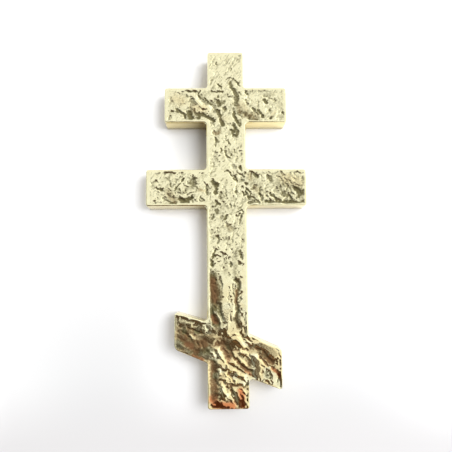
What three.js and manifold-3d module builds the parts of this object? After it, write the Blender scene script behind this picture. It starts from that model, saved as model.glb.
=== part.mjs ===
// A three-barred orthodox cross, cast in brass as one piece, lying on its flat back.
// The frame is in millimetres: +X to the right, +Y towards the head of the cross, +Z out of the face.
// The origin is on the back, under the middle of the casting's box.

import * as THREE from 'three';
import { mergeVertices } from 'three/addons/utils/BufferGeometryUtils.js';
import Module from 'manifold-3d';

const wasm = await Module();
wasm.setup();

// Driving dimensions of the outline
const crossLength = 200;
const castingThickness = 12.5;
const stemWidth = 22.4;
const headWidth = 20.8;

const upperBarLength = 70;
const upperBarHeight = 20.6;
const upperBarBelowHead = 31.9;

const middleBarLength = 90.4;
const middleBarHeight = 21;
const middleBarBelowHead = 80;

const footrestLength = 58.2;
const footrestAboveFoot = 31;

// The slanted bar's two arms. Each has its height at the stem and at its end, and how far its middle
// lies above the bar's own level there.
const leftArm = { rootHeight: 21.9, endHeight: 19.9, rootRise: 4, endRise: 10.4 };
const rightArm = { rootHeight: 22.5, endHeight: 21.3, rootRise: -3.7, endRise: -11 };

// Corners and edges
const outerCornerRadius = 1.4;
const innerCornerRadius = 1.7;
const wornCornerRadius = 3.6;
const edgeRounding = 0.85;
const arcSegments = 2;
const roundingSegments = 3;

// The smooth rim that is left round the rough face, by the edge it follows
const leftStemRim = 1.7;
const rightStemRim = 1.8;
const footSideRim = 3;
const headSideRim = 1.1;
const headEndRim = 1.5;
const barTopRim = 1.3;
const barBottomRim = 0.9;
const barEndRim = 2.1;
const roughEndRim = 0.7;
const footrestTopRim = 1.5;
const footrestEndRim = 1.1;
const lowEdgeRim = 0.6;
const rimCornerRadius = 1;

// The rough face: its fall below the rim, the depth of its grooves and the size of its lumps
const faceDrop = 0.15;
const grooveDepth = 1.1;
const lumpDepth = 0.75;
const lumpLength = 9;
const lumpWidth = 4.2;
const reliefCell = 1.75;
const cutterHeight = 6;

const colours = { brass: 0xd9c98a };
const finish = { roughness: 0.3, metalness: 1 };

// Heights along the stem, from the middle of the casting
const footY = -crossLength / 2;
const headY = crossLength / 2;
const upperBarY = headY - upperBarBelowHead;
const middleBarY = headY - middleBarBelowHead;
const footrestY = footY + footrestAboveFoot;

// Grooves and folds of the casting. Each runs through a few points measured from the crossing of
// its bar with the stem. A groove has a positive depth, a fold that stands up has a negative one.
const strokes = [
  { from: upperBarY, width: 2.4, depth: 1, points: [[2.6, 13], [4, 9], [6.4, 4.4], [6, 0]] },
  { from: upperBarY, width: 2.2, depth: 1, points: [[4.6, -5], [6, -9.5], [4.4, -14], [6, -18]] },
  { from: upperBarY, width: 2.4, depth: 1, points: [[-15.4, 8], [-14.6, 4.5], [-8.5, 1], [-6.2, -2.5]] },
  { from: upperBarY, width: 2.2, depth: 1, points: [[-6.2, -2.5], [-3.6, -7], [-2, -11.8]] },
  { from: upperBarY, width: 2.2, depth: 0.9, points: [[-28, -3.4], [-22, -5], [-14, -5.2], [-6.5, -9]] },
  { from: upperBarY, width: 3, depth: 1, points: [[-20, -5], [-20, -8]] },
  { from: upperBarY, width: 2.6, depth: 0.9, points: [[9.5, -8.4], [14, -6.4], [20, -7.4], [27, -8]] },
  { from: upperBarY, width: 2.4, depth: 0.8, points: [[-20, 8.4], [-19, 4], [-19, 0]] },
  { from: upperBarY, width: 3, depth: -0.8, points: [[-17, 4], [-13.5, -0.5], [-8, -3]] },
  { from: middleBarY, width: 3, depth: 1, points: [[-28, -6], [-22, -7], [-17, -5.6]] },
  { from: middleBarY, width: 2.6, depth: 0.8, points: [[-19, 4.6], [-17.6, 1.6]] },
  { from: middleBarY, width: 2.4, depth: 0.8, points: [[-7.4, 3.6], [-6, -3]] },
  { from: middleBarY, width: 3, depth: 1, points: [[26, -8], [34, -8], [42, -7], [44, -3]] },
  { from: middleBarY, width: 3, depth: 0.9, points: [[36, 0], [41, -1.4]] },
  { from: middleBarY, width: 2.6, depth: -0.7, points: [[6, 7], [12, 0], [18, -6]] },
  { from: middleBarY, width: 2.4, depth: 0.9, points: [[10, 0], [13, -5], [19, -8]] },
  { from: footrestY, width: 3.4, depth: 1, points: [[-9.4, 43], [-8.4, 34], [-9, 24], [-6.4, 15]] },
  { from: footrestY, width: 3, depth: 0.9, points: [[-4, 37], [-3.6, 27], [-3.4, 19], [-1.6, 12]] },
  { from: footrestY, width: 3.4, depth: -0.9, points: [[-1, 39], [-1, 26], [-0.6, 14]] },
  { from: footrestY, width: 3, depth: 1, points: [[6.4, 37], [4.4, 30], [5, 20], [5.4, 10]] },
  { from: footrestY, width: 2.6, depth: 1, points: [[-23, 12], [-18, 10], [-13, 8.6]] },
  { from: footrestY, width: 3.4, depth: 1, points: [[-4.6, 3.4], [-1, 1], [1, -4]] },
  { from: footrestY, width: 3.4, depth: 1, points: [[3, -3], [7, -8], [12, -12]] },
  { from: footrestY, width: 3.4, depth: 1, points: [[10, 5], [16, -1], [24, -7]] },
  { from: footrestY, width: 4, depth: -0.9, points: [[12, -2], [15.6, -8], [18, -13]] },
  { from: footrestY, width: 3, depth: -0.8, points: [[-8, -2], [-4, -7], [2, -11]] },
  { from: footrestY, width: 3.4, depth: 0.9, points: [[-8, -8], [-7.4, -18], [-8, -26]] },
  { from: footrestY, width: 2.6, depth: 0.9, points: [[1, -20], [2, -24], [1.6, -28]] },
];

// The outline's corners, anticlockwise from the foot. Each corner has the radius it is rounded to,
// and the rim that is left along the edge that runs on from it.
function outlineCorners() {
  const stem = stemWidth / 2;
  const head = headWidth / 2;
  const reach = footrestLength / 2;
  const inner = innerCornerRadius;
  const outer = outerCornerRadius;
  const bar = (length, height, y) => ({ reach: length / 2, low: y - height / 2, high: y + height / 2 });
  const upper = bar(upperBarLength, upperBarHeight, upperBarY);
  const middle = bar(middleBarLength, middleBarHeight, middleBarY);
  const root = (arm, side) => footrestY + arm.rootRise + side * arm.rootHeight / 2;
  const end = (arm, side) => footrestY + arm.endRise + side * arm.endHeight / 2;
  return [
    [-stem, footY, outer, lowEdgeRim],
    [stem, footY, outer, footSideRim],
    [stem, root(rightArm, -1), inner, lowEdgeRim],
    [reach, end(rightArm, -1), outer, roughEndRim],
    [reach, end(rightArm, 1), outer, footrestTopRim],
    [stem, root(rightArm, 1), inner, rightStemRim],
    [stem, middle.low, inner, barBottomRim],
    [middle.reach, middle.low, outer, roughEndRim],
    [middle.reach, middle.high, outer, barTopRim],
    [stem, middle.high, inner, rightStemRim],
    [stem, upper.low, inner, barBottomRim],
    [upper.reach, upper.low, outer, barEndRim],
    [upper.reach, upper.high, outer, barTopRim],
    [head, upper.high, inner, headSideRim],
    [head, headY, outer, headEndRim],
    [-head, headY, outer, headSideRim],
    [-head, upper.high, inner, barTopRim],
    [-upper.reach, upper.high, outer, barEndRim],
    [-upper.reach, upper.low, outer, barBottomRim],
    [-stem, upper.low, inner, leftStemRim],
    [-stem, middle.high, inner, barTopRim],
    [-middle.reach, middle.high, outer, barEndRim],
    [-middle.reach, middle.low, outer, barBottomRim],
    [-stem, middle.low, inner, leftStemRim],
    [-stem, root(leftArm, 1), inner, footrestTopRim],
    [-reach, end(leftArm, 1), outer, footrestEndRim],
    [-reach, end(leftArm, -1), wornCornerRadius, lowEdgeRim],
    [-stem, root(leftArm, -1), inner, leftStemRim],
  ].map(([x, y, radius, rim]) => ({ point: new THREE.Vector2(x, y), radius, rim }));
}

// Moves every edge inwards by its own rim, and finds the corners where the moved edges meet.
function insetCorners(corners) {
  const count = corners.length;
  const edges = corners.map((corner, index) => {
    const along = corners[(index + 1) % count].point.clone().sub(corner.point).normalize();
    const inward = new THREE.Vector2(-along.y, along.x);
    return { start: corner.point.clone().addScaledVector(inward, corner.rim), along };
  });
  return corners.map((corner, index) => {
    const before = edges[(index + count - 1) % count];
    const after = edges[index];
    const gap = after.start.clone().sub(before.start);
    const travel = gap.cross(after.along) / before.along.cross(after.along);
    const point = before.start.clone().addScaledVector(before.along, travel);
    return { point, radius: Math.max(rimCornerRadius, corner.radius - corner.rim), rim: 0 };
  });
}

// Joins the corners with straight edges, and rounds each corner with an arc that touches both edges.
function roundedShape(corners) {
  const shape = new THREE.Shape();
  const count = corners.length;
  corners.forEach((corner, index) => {
    const { point, radius } = corner;
    const back = corners[(index + count - 1) % count].point.clone().sub(point);
    const on = corners[(index + 1) % count].point.clone().sub(point);
    const room = Math.min(back.length(), on.length()) * 0.45;
    back.normalize();
    on.normalize();
    const halfAngle = Math.acos(THREE.MathUtils.clamp(back.dot(on), -1, 1)) / 2;
    const tangent = Math.min(radius / Math.tan(halfAngle), room);
    const arcRadius = tangent * Math.tan(halfAngle);
    const middle = back.clone().add(on).normalize();
    const centre = point.clone().addScaledVector(middle, arcRadius / Math.sin(halfAngle));
    const start = point.clone().addScaledVector(back, tangent);
    const end = point.clone().addScaledVector(on, tangent);
    const startAngle = start.clone().sub(centre).angle();
    const endAngle = end.clone().sub(centre).angle();
    const turnsRight = back.cross(on) > 0;
    if (index === 0) shape.moveTo(start.x, start.y);
    else shape.lineTo(start.x, start.y);
    shape.absarc(centre.x, centre.y, arcRadius, startAngle, endAngle, turnsRight);
  });
  shape.closePath();
  return shape;
}

// A smooth random number for each corner of a unit lattice, blended between the corners.
function latticeValue(column, row, seed) {
  let value = Math.imul(column, 374761393) + Math.imul(row, 668265263) + Math.imul(seed, 974634777);
  value = Math.imul(value ^ (value >>> 13), 1274126177);
  return ((value ^ (value >>> 16)) >>> 0) / 4294967296;
}

function smoothNoise(x, y, seed) {
  const column = Math.floor(x);
  const row = Math.floor(y);
  const across = THREE.MathUtils.smootherstep(x - column, 0, 1);
  const up = THREE.MathUtils.smootherstep(y - row, 0, 1);
  const low = THREE.MathUtils.lerp(
    latticeValue(column, row, seed), latticeValue(column + 1, row, seed), across);
  const high = THREE.MathUtils.lerp(
    latticeValue(column, row + 1, seed), latticeValue(column + 1, row + 1, seed), across);
  return THREE.MathUtils.lerp(low, high, up);
}

// Lumps drawn out along a direction, in degrees from +X.
function lumps(x, y, direction, seed) {
  const angle = THREE.MathUtils.degToRad(direction);
  const along = x * Math.cos(angle) + y * Math.sin(angle);
  const across = y * Math.cos(angle) - x * Math.sin(angle);
  const coarse = smoothNoise(along / lumpLength, across / lumpWidth, seed);
  const fine = smoothNoise(along / lumpWidth, across / lumpWidth * 2, seed + 1);
  return 0.6 * coarse + 0.4 * fine;
}

// The distance from a place to a groove's line, as a bell that is 1 on the line.
function strokeWeight(x, y, stroke) {
  const place = new THREE.Vector3(x, y, 0);
  const nearest = new THREE.Vector3();
  const line = new THREE.Line3();
  let distance = Infinity;
  for (let index = 1; index < stroke.points.length; index += 1) {
    const [startX, startY] = stroke.points[index - 1];
    const [endX, endY] = stroke.points[index];
    line.start.set(startX, stroke.from + startY, 0);
    line.end.set(endX, stroke.from + endY, 0);
    line.closestPointToPoint(place, true, nearest);
    distance = Math.min(distance, nearest.distanceTo(place));
  }
  return Math.exp(-((distance / stroke.width) ** 2) * 2);
}

// The height of the rough face: diagonal hatching on the head, upright streaks on the stem,
// and folds that run down to the right across the footrest, with the grooves cut into them.
function faceHeight(x, y) {
  const headShare = THREE.MathUtils.smoothstep(y, upperBarY, headY);
  const footShare = 1 - THREE.MathUtils.smoothstep(y, footrestY, footrestY + leftArm.rootHeight);
  const stemShare = 1 - headShare - footShare;
  const roughness = headShare * lumps(x, y, 55, 1)
    + stemShare * lumps(x, y, 85, 3)
    + footShare * lumps(x, y, -32, 5);
  let height = -faceDrop - lumpDepth * roughness;
  for (const stroke of strokes) {
    height -= grooveDepth * stroke.depth * strokeWeight(x, y, stroke);
  }
  return castingThickness + Math.min(height, -faceDrop);
}

// The solid and mesh forms of a piece: shared corners are merged on the way in.
function toSolid(geometry) {
  const bare = geometry.index ? geometry.toNonIndexed() : geometry.clone();
  bare.deleteAttribute('normal');
  bare.deleteAttribute('uv');
  const merged = mergeVertices(bare, 1e-4);
  const vertProperties = new Float32Array(merged.attributes.position.array);
  const triVerts = new Uint32Array(merged.index.array);
  return new wasm.Manifold(new wasm.Mesh({ numProp: 3, vertProperties, triVerts }));
}

function toGeometry(solid) {
  const { vertProperties, triVerts } = solid.getMesh();
  const geometry = new THREE.BufferGeometry();
  geometry.setAttribute('position', new THREE.BufferAttribute(vertProperties, 3));
  geometry.setIndex(new THREE.BufferAttribute(triVerts, 1));
  const flat = geometry.toNonIndexed();
  flat.computeVertexNormals();
  return flat;
}

// The plain casting: the outline with its front edge rounded, and the back cut off flat.
function plainCasting() {
  const body = new THREE.ExtrudeGeometry(roundedShape(outlineCorners()), {
    depth: castingThickness,
    curveSegments: arcSegments,
    bevelSize: edgeRounding,
    bevelThickness: edgeRounding,
    bevelOffset: -edgeRounding,
    bevelSegments: roundingSegments,
  });
  body.translate(0, 0, -edgeRounding);
  const below = new THREE.BoxGeometry(crossLength * 2, crossLength * 2, castingThickness);
  below.translate(0, 0, -castingThickness / 2);
  return toSolid(body).subtract(toSolid(below));
}

// Everything above the rough face, inside the rim.
function faceCutter() {
  const field = new THREE.ExtrudeGeometry(roundedShape(insetCorners(outlineCorners())), {
    depth: cutterHeight * 2,
    curveSegments: arcSegments,
    bevelEnabled: false,
  });
  field.translate(0, 0, castingThickness - cutterHeight);
  const width = Math.max(upperBarLength, middleBarLength, footrestLength);
  const columns = Math.round(width / reliefCell);
  const rows = Math.round(crossLength / reliefCell);
  const above = new THREE.BoxGeometry(width, crossLength, cutterHeight, columns, rows, 1);
  const corners = above.attributes.position;
  for (let index = 0; index < corners.count; index += 1) {
    const low = corners.getZ(index) < 0;
    const top = castingThickness + cutterHeight;
    corners.setZ(index, low ? faceHeight(corners.getX(index), corners.getY(index)) : top);
  }
  return toSolid(field).intersect(toSolid(above));
}

function crossCasting() {
  const material = new THREE.MeshStandardMaterial({ color: colours.brass, ...finish });
  const mesh = new THREE.Mesh(toGeometry(plainCasting().subtract(faceCutter())), material);
  mesh.name = 'cross_casting';
  return mesh;
}

const cross = new THREE.Group();
cross.name = 'orthodox_cross';
cross.add(crossCasting());

export default cross;
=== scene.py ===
# %% [markdown]
# # A three-barred orthodox cross in cast brass
#
# The real object is one flat casting, 200 mm tall and 12.5 mm thick. Its back is plain, its sides are
# smooth, and its face is left rough, like folded foil. A narrow polished rim frames the face on the
# head and the two upper bars. Round the foot the roughness runs out to the edges.
#
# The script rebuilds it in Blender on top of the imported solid, which gives the outline and the size.
# First it reads that frame, and keeps the box that the finished model must stay in.

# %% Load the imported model
import math

import bpy
import numpy as np
from mathutils import Matrix, Vector
from mathutils.geometry import delaunay_2d_cdt


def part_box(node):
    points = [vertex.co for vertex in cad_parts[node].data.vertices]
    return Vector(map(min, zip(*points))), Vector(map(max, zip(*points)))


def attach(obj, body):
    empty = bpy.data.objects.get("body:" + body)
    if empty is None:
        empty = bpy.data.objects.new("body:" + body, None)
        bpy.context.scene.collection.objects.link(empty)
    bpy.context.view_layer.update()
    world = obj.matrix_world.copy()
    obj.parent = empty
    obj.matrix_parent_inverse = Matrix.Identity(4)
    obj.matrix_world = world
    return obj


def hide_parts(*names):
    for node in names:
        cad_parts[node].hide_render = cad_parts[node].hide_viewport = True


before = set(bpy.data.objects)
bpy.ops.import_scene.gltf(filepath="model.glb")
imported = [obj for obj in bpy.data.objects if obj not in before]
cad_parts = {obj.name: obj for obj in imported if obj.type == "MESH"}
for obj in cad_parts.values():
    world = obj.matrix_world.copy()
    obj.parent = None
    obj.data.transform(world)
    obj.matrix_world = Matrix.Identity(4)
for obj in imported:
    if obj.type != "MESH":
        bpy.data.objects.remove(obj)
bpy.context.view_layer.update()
cast_low, cast_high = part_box("cross_casting")
MM = 0.001
thickness = (cast_high.z - cast_low.z) / MM
cross_length = (cast_high.y - cast_low.y) / MM
print(f"casting: {cross_length:.1f} mm tall, {thickness:.1f} mm thick")

# %% [markdown]
# ## The outline
#
# The casting is a stem with three bars: a short one near the head, a long one below it, and the
# slanted footrest. A ruler is laid along the stem, with zero at the foot, so every height below is a
# distance from the foot in millimetres, and every x is a distance from the middle of the stem.
#
# The solid's outline has 28 corners. They are worked out here from the same few sizes, because this
# piece stands in the solid's place and must not be larger. The footrest's two arms differ a little,
# as they do on the real casting, whose lower left corner is worn round.

# %% Sizes of the stem and the bars
STEM_WIDTH = 22.4
HEAD_WIDTH = 20.8
UPPER_BAR = {"length": 70, "height": 20.6, "y": cross_length - 31.9}
MIDDLE_BAR = {"length": 90.4, "height": 21, "y": cross_length - 80}
FOOTREST = {"length": 58.2, "y": 31}
LEFT_ARM = {"root_height": 21.9, "end_height": 19.9, "root_rise": 4, "end_rise": 10.4}
RIGHT_ARM = {"root_height": 22.5, "end_height": 21.3, "root_rise": -3.7, "end_rise": -11}
OUTER_RADIUS = 1.4
INNER_RADIUS = 1.7
WORN_RADIUS = 3.6


def bar_edges(bar):
    """Half the bar's length, and the heights of its lower and upper edge."""
    return bar["length"] / 2, bar["y"] - bar["height"] / 2, bar["y"] + bar["height"] / 2


def arm_edge(arm, place, side):
    """The height of a footrest arm's edge: the bar's level, plus its rise there, plus half its height."""
    return FOOTREST["y"] + arm[place + "_rise"] + side * arm[place + "_height"] / 2


def outline_corners():
    """Corners anticlockwise from the foot: x, y, radius, and the rim along the edge that runs on from it.

    A rim below zero lets the roughness run over that edge.
    """
    stem, head, foot = STEM_WIDTH / 2, HEAD_WIDTH / 2, FOOTREST["length"] / 2
    upper, upper_low, upper_high = bar_edges(UPPER_BAR)
    middle, middle_low, middle_high = bar_edges(MIDDLE_BAR)
    outer, inner = OUTER_RADIUS, INNER_RADIUS
    return np.array([
        (-stem, 0, outer, -0.7),
        (stem, 0, outer, -0.3),
        (stem, arm_edge(RIGHT_ARM, "root", -1), inner, -0.5),
        (foot, arm_edge(RIGHT_ARM, "end", -1), outer, -0.3),
        (foot, arm_edge(RIGHT_ARM, "end", 1), outer, -0.2),
        (stem, arm_edge(RIGHT_ARM, "root", 1), inner, 1.2),
        (stem, middle_low, inner, 0.9),
        (middle, middle_low, outer, 0.7),
        (middle, middle_high, outer, 1.3),
        (stem, middle_high, inner, 1.8),
        (stem, upper_low, inner, 0.9),
        (upper, upper_low, outer, 1.2),
        (upper, upper_high, outer, 1.3),
        (head, upper_high, inner, 1.1),
        (head, cross_length, outer, 1.5),
        (-head, cross_length, outer, 1.1),
        (-head, upper_high, inner, 1.3),
        (-upper, upper_high, outer, 1.4),
        (-upper, upper_low, outer, 0.9),
        (-stem, upper_low, inner, 1.7),
        (-stem, middle_high, inner, 1.3),
        (-middle, middle_high, outer, 2.1),
        (-middle, middle_low, outer, 0.9),
        (-stem, middle_low, inner, 1.1),
        (-stem, arm_edge(LEFT_ARM, "root", 1), inner, 0.9),
        (-foot, arm_edge(LEFT_ARM, "end", 1), outer, 0.1),
        (-foot, arm_edge(LEFT_ARM, "end", -1), WORN_RADIUS, -0.6),
        (-stem, arm_edge(LEFT_ARM, "root", -1), inner, -0.2),
    ], float)


corners = outline_corners()
print(f"outline: {len(corners)} corners")

# %% [markdown]
# ## Rings round the outline
#
# The sides and the rounded front edge are a band of rings, one inside the other, as if the outline
# were drawn again and again with a finer line. When an edge moves inwards, an outer corner's arc
# gets a smaller radius and an inner corner's arc a larger one, but both keep their centre. So every
# ring has the same number of points, and neighbouring rings can be joined by rows of four-sided faces.
# A bevel modifier would round the edge too, but here the face must start from exactly the last ring.

# %% Arcs at the corners, and rings of points
POINT_SPACING = 0.4
ARC_POINTS = 6


def unit(vectors):
    """Each vector divided by its own length."""
    return vectors / np.linalg.norm(vectors, axis=-1, keepdims=True)


def corner_arcs(table):
    """For each corner: the arc's centre, its radius, where it starts and ends, and +1 for an outer corner.

    The arc touches both edges, so its centre lies on the line that halves the corner, at the radius
    divided by the sine of half the corner's angle, and it touches at the radius over the tangent.
    """
    point = table[:, :2]
    radius = table[:, 2]
    back = unit(np.roll(point, 1, axis=0) - point)
    on = unit(np.roll(point, -1, axis=0) - point)
    half = np.arccos(np.clip((back * on).sum(1), -1, 1)) / 2
    centre = point + unit(back + on) * (radius / np.sin(half))[:, None]
    reach = (radius / np.tan(half))[:, None]
    start = point + back * reach - centre
    end = point + on * reach - centre
    turn = back[:, 1] * on[:, 0] - back[:, 0] * on[:, 1]
    return centre, radius, start, end, np.where(turn > 0, 1.0, -1.0)


ARC_CENTRE, ARC_RADIUS, ARC_START, ARC_END, ARC_SIDE = corner_arcs(corners)


def ring(inset):
    """Points of the outline moved inwards: each arc keeps its centre and changes its radius by the inset.

    The steps between two arcs are counted on the outline itself, so every ring has the same number.
    """
    angle_from = np.arctan2(ARC_START[:, 1], ARC_START[:, 0])
    angle_to = np.arctan2(ARC_END[:, 1], ARC_END[:, 0])
    sweep = (angle_to - angle_from + math.pi) % (2 * math.pi) - math.pi
    angle = angle_from[:, None] + sweep[:, None] * np.linspace(0, 1, ARC_POINTS)
    spokes = np.stack([np.cos(angle), np.sin(angle)], -1)
    radius = ARC_RADIUS - ARC_SIDE * inset
    arcs = ARC_CENTRE[:, None, :] + radius[:, None, None] * spokes
    full = ARC_CENTRE[:, None, :] + ARC_RADIUS[:, None, None] * spokes
    pieces = []
    for index in range(len(corners)):
        following = (index + 1) % len(corners)
        length = np.linalg.norm(full[following, 0] - full[index, -1])
        steps = max(1, round(length / POINT_SPACING))
        along = np.arange(1, steps)[:, None] / steps
        pieces.append(arcs[index])
        pieces.append(arcs[index, -1] + (arcs[following, 0] - arcs[index, -1]) * along)
    return np.concatenate(pieces)


print(f"one ring: {len(ring(0))} points")

# %% [markdown]
# ## Noise for a cast surface
#
# Molten brass copies every wrinkle of the sand or wax that it was poured against. Two kinds of
# numbers describe that here: smooth random lumps, which are blended between the corners of a
# lattice, and marks that are drawn by hand, which come next. Lumps are drawn out along a direction,
# because the wrinkles are diagonal on the head, upright low on the stem and slanted on the footrest.
# Blender's own noise texture could bend the surface as well, but numbers in an array can be measured
# and used twice, for the shape and for the dark skin. Each use has its own seed, and so every run
# gives the same casting.

# %% Smooth random lumps
# Large odd numbers that scatter the bits of a column, of a row, of a seed and of their sum
COLUMN_MIX, ROW_MIX, SEED_MIX, SUM_MIX = 374761393, 668265263, 97463, 1274126177


def lattice_value(column, row, seed):
    """A random number from 0 to 1 for each lattice corner, mixed from its column, row and seed."""
    column = column.astype(np.int64).astype(np.uint32)
    row = row.astype(np.int64).astype(np.uint32)
    value = column * np.uint32(COLUMN_MIX) + row * np.uint32(ROW_MIX) + np.uint32(seed * SEED_MIX + 17)
    value = (value ^ (value >> np.uint32(13))) * np.uint32(SUM_MIX)
    return (value ^ (value >> np.uint32(16))) / 2.0 ** 32


def smooth_step(low, high, value):
    """0 below low, 1 above high, and the curve 3t squared minus 2t cubed between them."""
    share = np.clip((value - low) / (high - low), 0, 1)
    return share * share * (3 - 2 * share)


def smooth_noise(x, y, seed):
    """Lattice numbers blended across and up each square with an S-shaped curve."""
    column, row = np.floor(x), np.floor(y)
    across = smooth_step(0, 1, x - column)
    up = smooth_step(0, 1, y - row)
    value = lattice_value
    low = value(column, row, seed) * (1 - across) + value(column + 1, row, seed) * across
    high = value(column, row + 1, seed) * (1 - across) + value(column + 1, row + 1, seed) * across
    return low * (1 - up) + high * up


def lumps(x, y, direction, length, width, seed):
    """Noise drawn out along a direction in degrees: places are turned, then divided by the lump's size."""
    angle = math.radians(direction)
    along = x * math.cos(angle) + y * math.sin(angle)
    across = y * math.cos(angle) - x * math.sin(angle)
    return smooth_noise(along / length, across / width, seed)


print(f"noise at the origin: {smooth_noise(np.zeros(1), np.zeros(1), 1)[0]:.3f}")

# %% [markdown]
# ## Marks of the casting
#
# An eye knows this casting by its large folds and pits, so those are drawn one by one, as an engraver
# would copy them. A row holds a mark's width in millimetres, its depth from 0 to 1, and then the x
# and y of each point that it runs through, on the ruler. A row with one point is a round pit. They
# are grouped by the limb of the cross that they lie on.

# %% Marks on the upper bar and the head
UPPER_LEFT = [
    (1.1, .9, -22.3, 176.6, -20, 175.9, -18.6, 176.2, -17.6, 175.8), (.9, .7, -18.9, 176, -18.8, 173.5),
    (2.2, .6, -19.5, 171.5, -18.4, 170.5, -18.2, 169), (.8, .7, -22.3, 174.2, -22.2, 173.4),
    (1.2, .6, -20.2, 172, -19.8, 169.5, -20.3, 168.2, -20.2, 166.5, -20, 165),
    (.9, .5, -22.3, 166, -20.5, 165.6, -19.5, 164.8), (2.4, 1, -20.5, 163.5, -20.2, 161, -19.9, 159.6),
    (1, .6, -22.2, 164.3, -20.9, 163), (.9, .8, -31, 164.2, -29.6, 164.3),
    (1.2, .8, -28, 165.8, -27.4, 164.8, -25.6, 163.7, -23.8, 162.6, -22.6, 162.6),
    (1.2, .9, -23.6, 162.4, -23.4, 160.6), (.9, .7, -28.3, 164.1, -26.5, 163.6),
    (.6, .6, -32.9, 160.2, -32.4, 161.4, -31.6, 161.4, -31.1, 160.3),
    (.6, .4, -32.9, 168.5, -32.6, 167.4), (.7, .45, -33, 165.2, -32.3, 163.2, -31.6, 162.8),
    (.8, .5, -31.6, 172.5, -31.4, 170.6), (.9, .5, -30.4, 170.2, -30.1, 169.4),
    (.7, .4, -29.8, 168, -30.4, 167.6), (.8, .45, -26.9, 168.2, -26.3, 166.8),
    (1.3, .75, -17.9, 165, -17.6, 163.6, -16.5, 162.7, -15.4, 162.4),
    (1.6, .85, -15.6, 162.6, -15.4, 161.4, -15.6, 160.4), (1, .6, -17, 160.6, -15.6, 160.2),
    (1.5, .9, -15, 162.6, -13.2, 162.8, -12.2, 162.2, -10.6, 161.2, -9.6, 160.7, -8.5, 160.1, -7, 158.8),
    (.9, .4, -14.6, 166.4, -13.8, 165.6, -12.8, 164.8), (.7, .5, -11, 160, -10.2, 158.4),
    (1.1, .55, -10, 158, -8.6, 157.4, -7, 157.2, -6.6, 155.8),
    (1, .85, -14.9, 176.4, -15.8, 175.2, -15.5, 173.6, -14.6, 172.4),
    (2, .55, -14.2, 173.6, -13.6, 171.5, -12, 170.4, -10.4, 169.8, -9, 169.4, -7.6, 168.6, -6.6, 167.6),
    (.9, .85, -12, 172.8, -11.2, 171.2, -10, 169.8, -8.4, 168.9),
    (1.6, .6, -6.5, 167.6, -6.2, 165.5, -6, 164),
    (1.6, .85, -5, 165, -4, 163.8, -3.4, 162, -3, 160.8, -2.7, 159, -2.2, 157.4, -1.6, 156.3),
    (2, .9, -2, 157),
]
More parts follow.
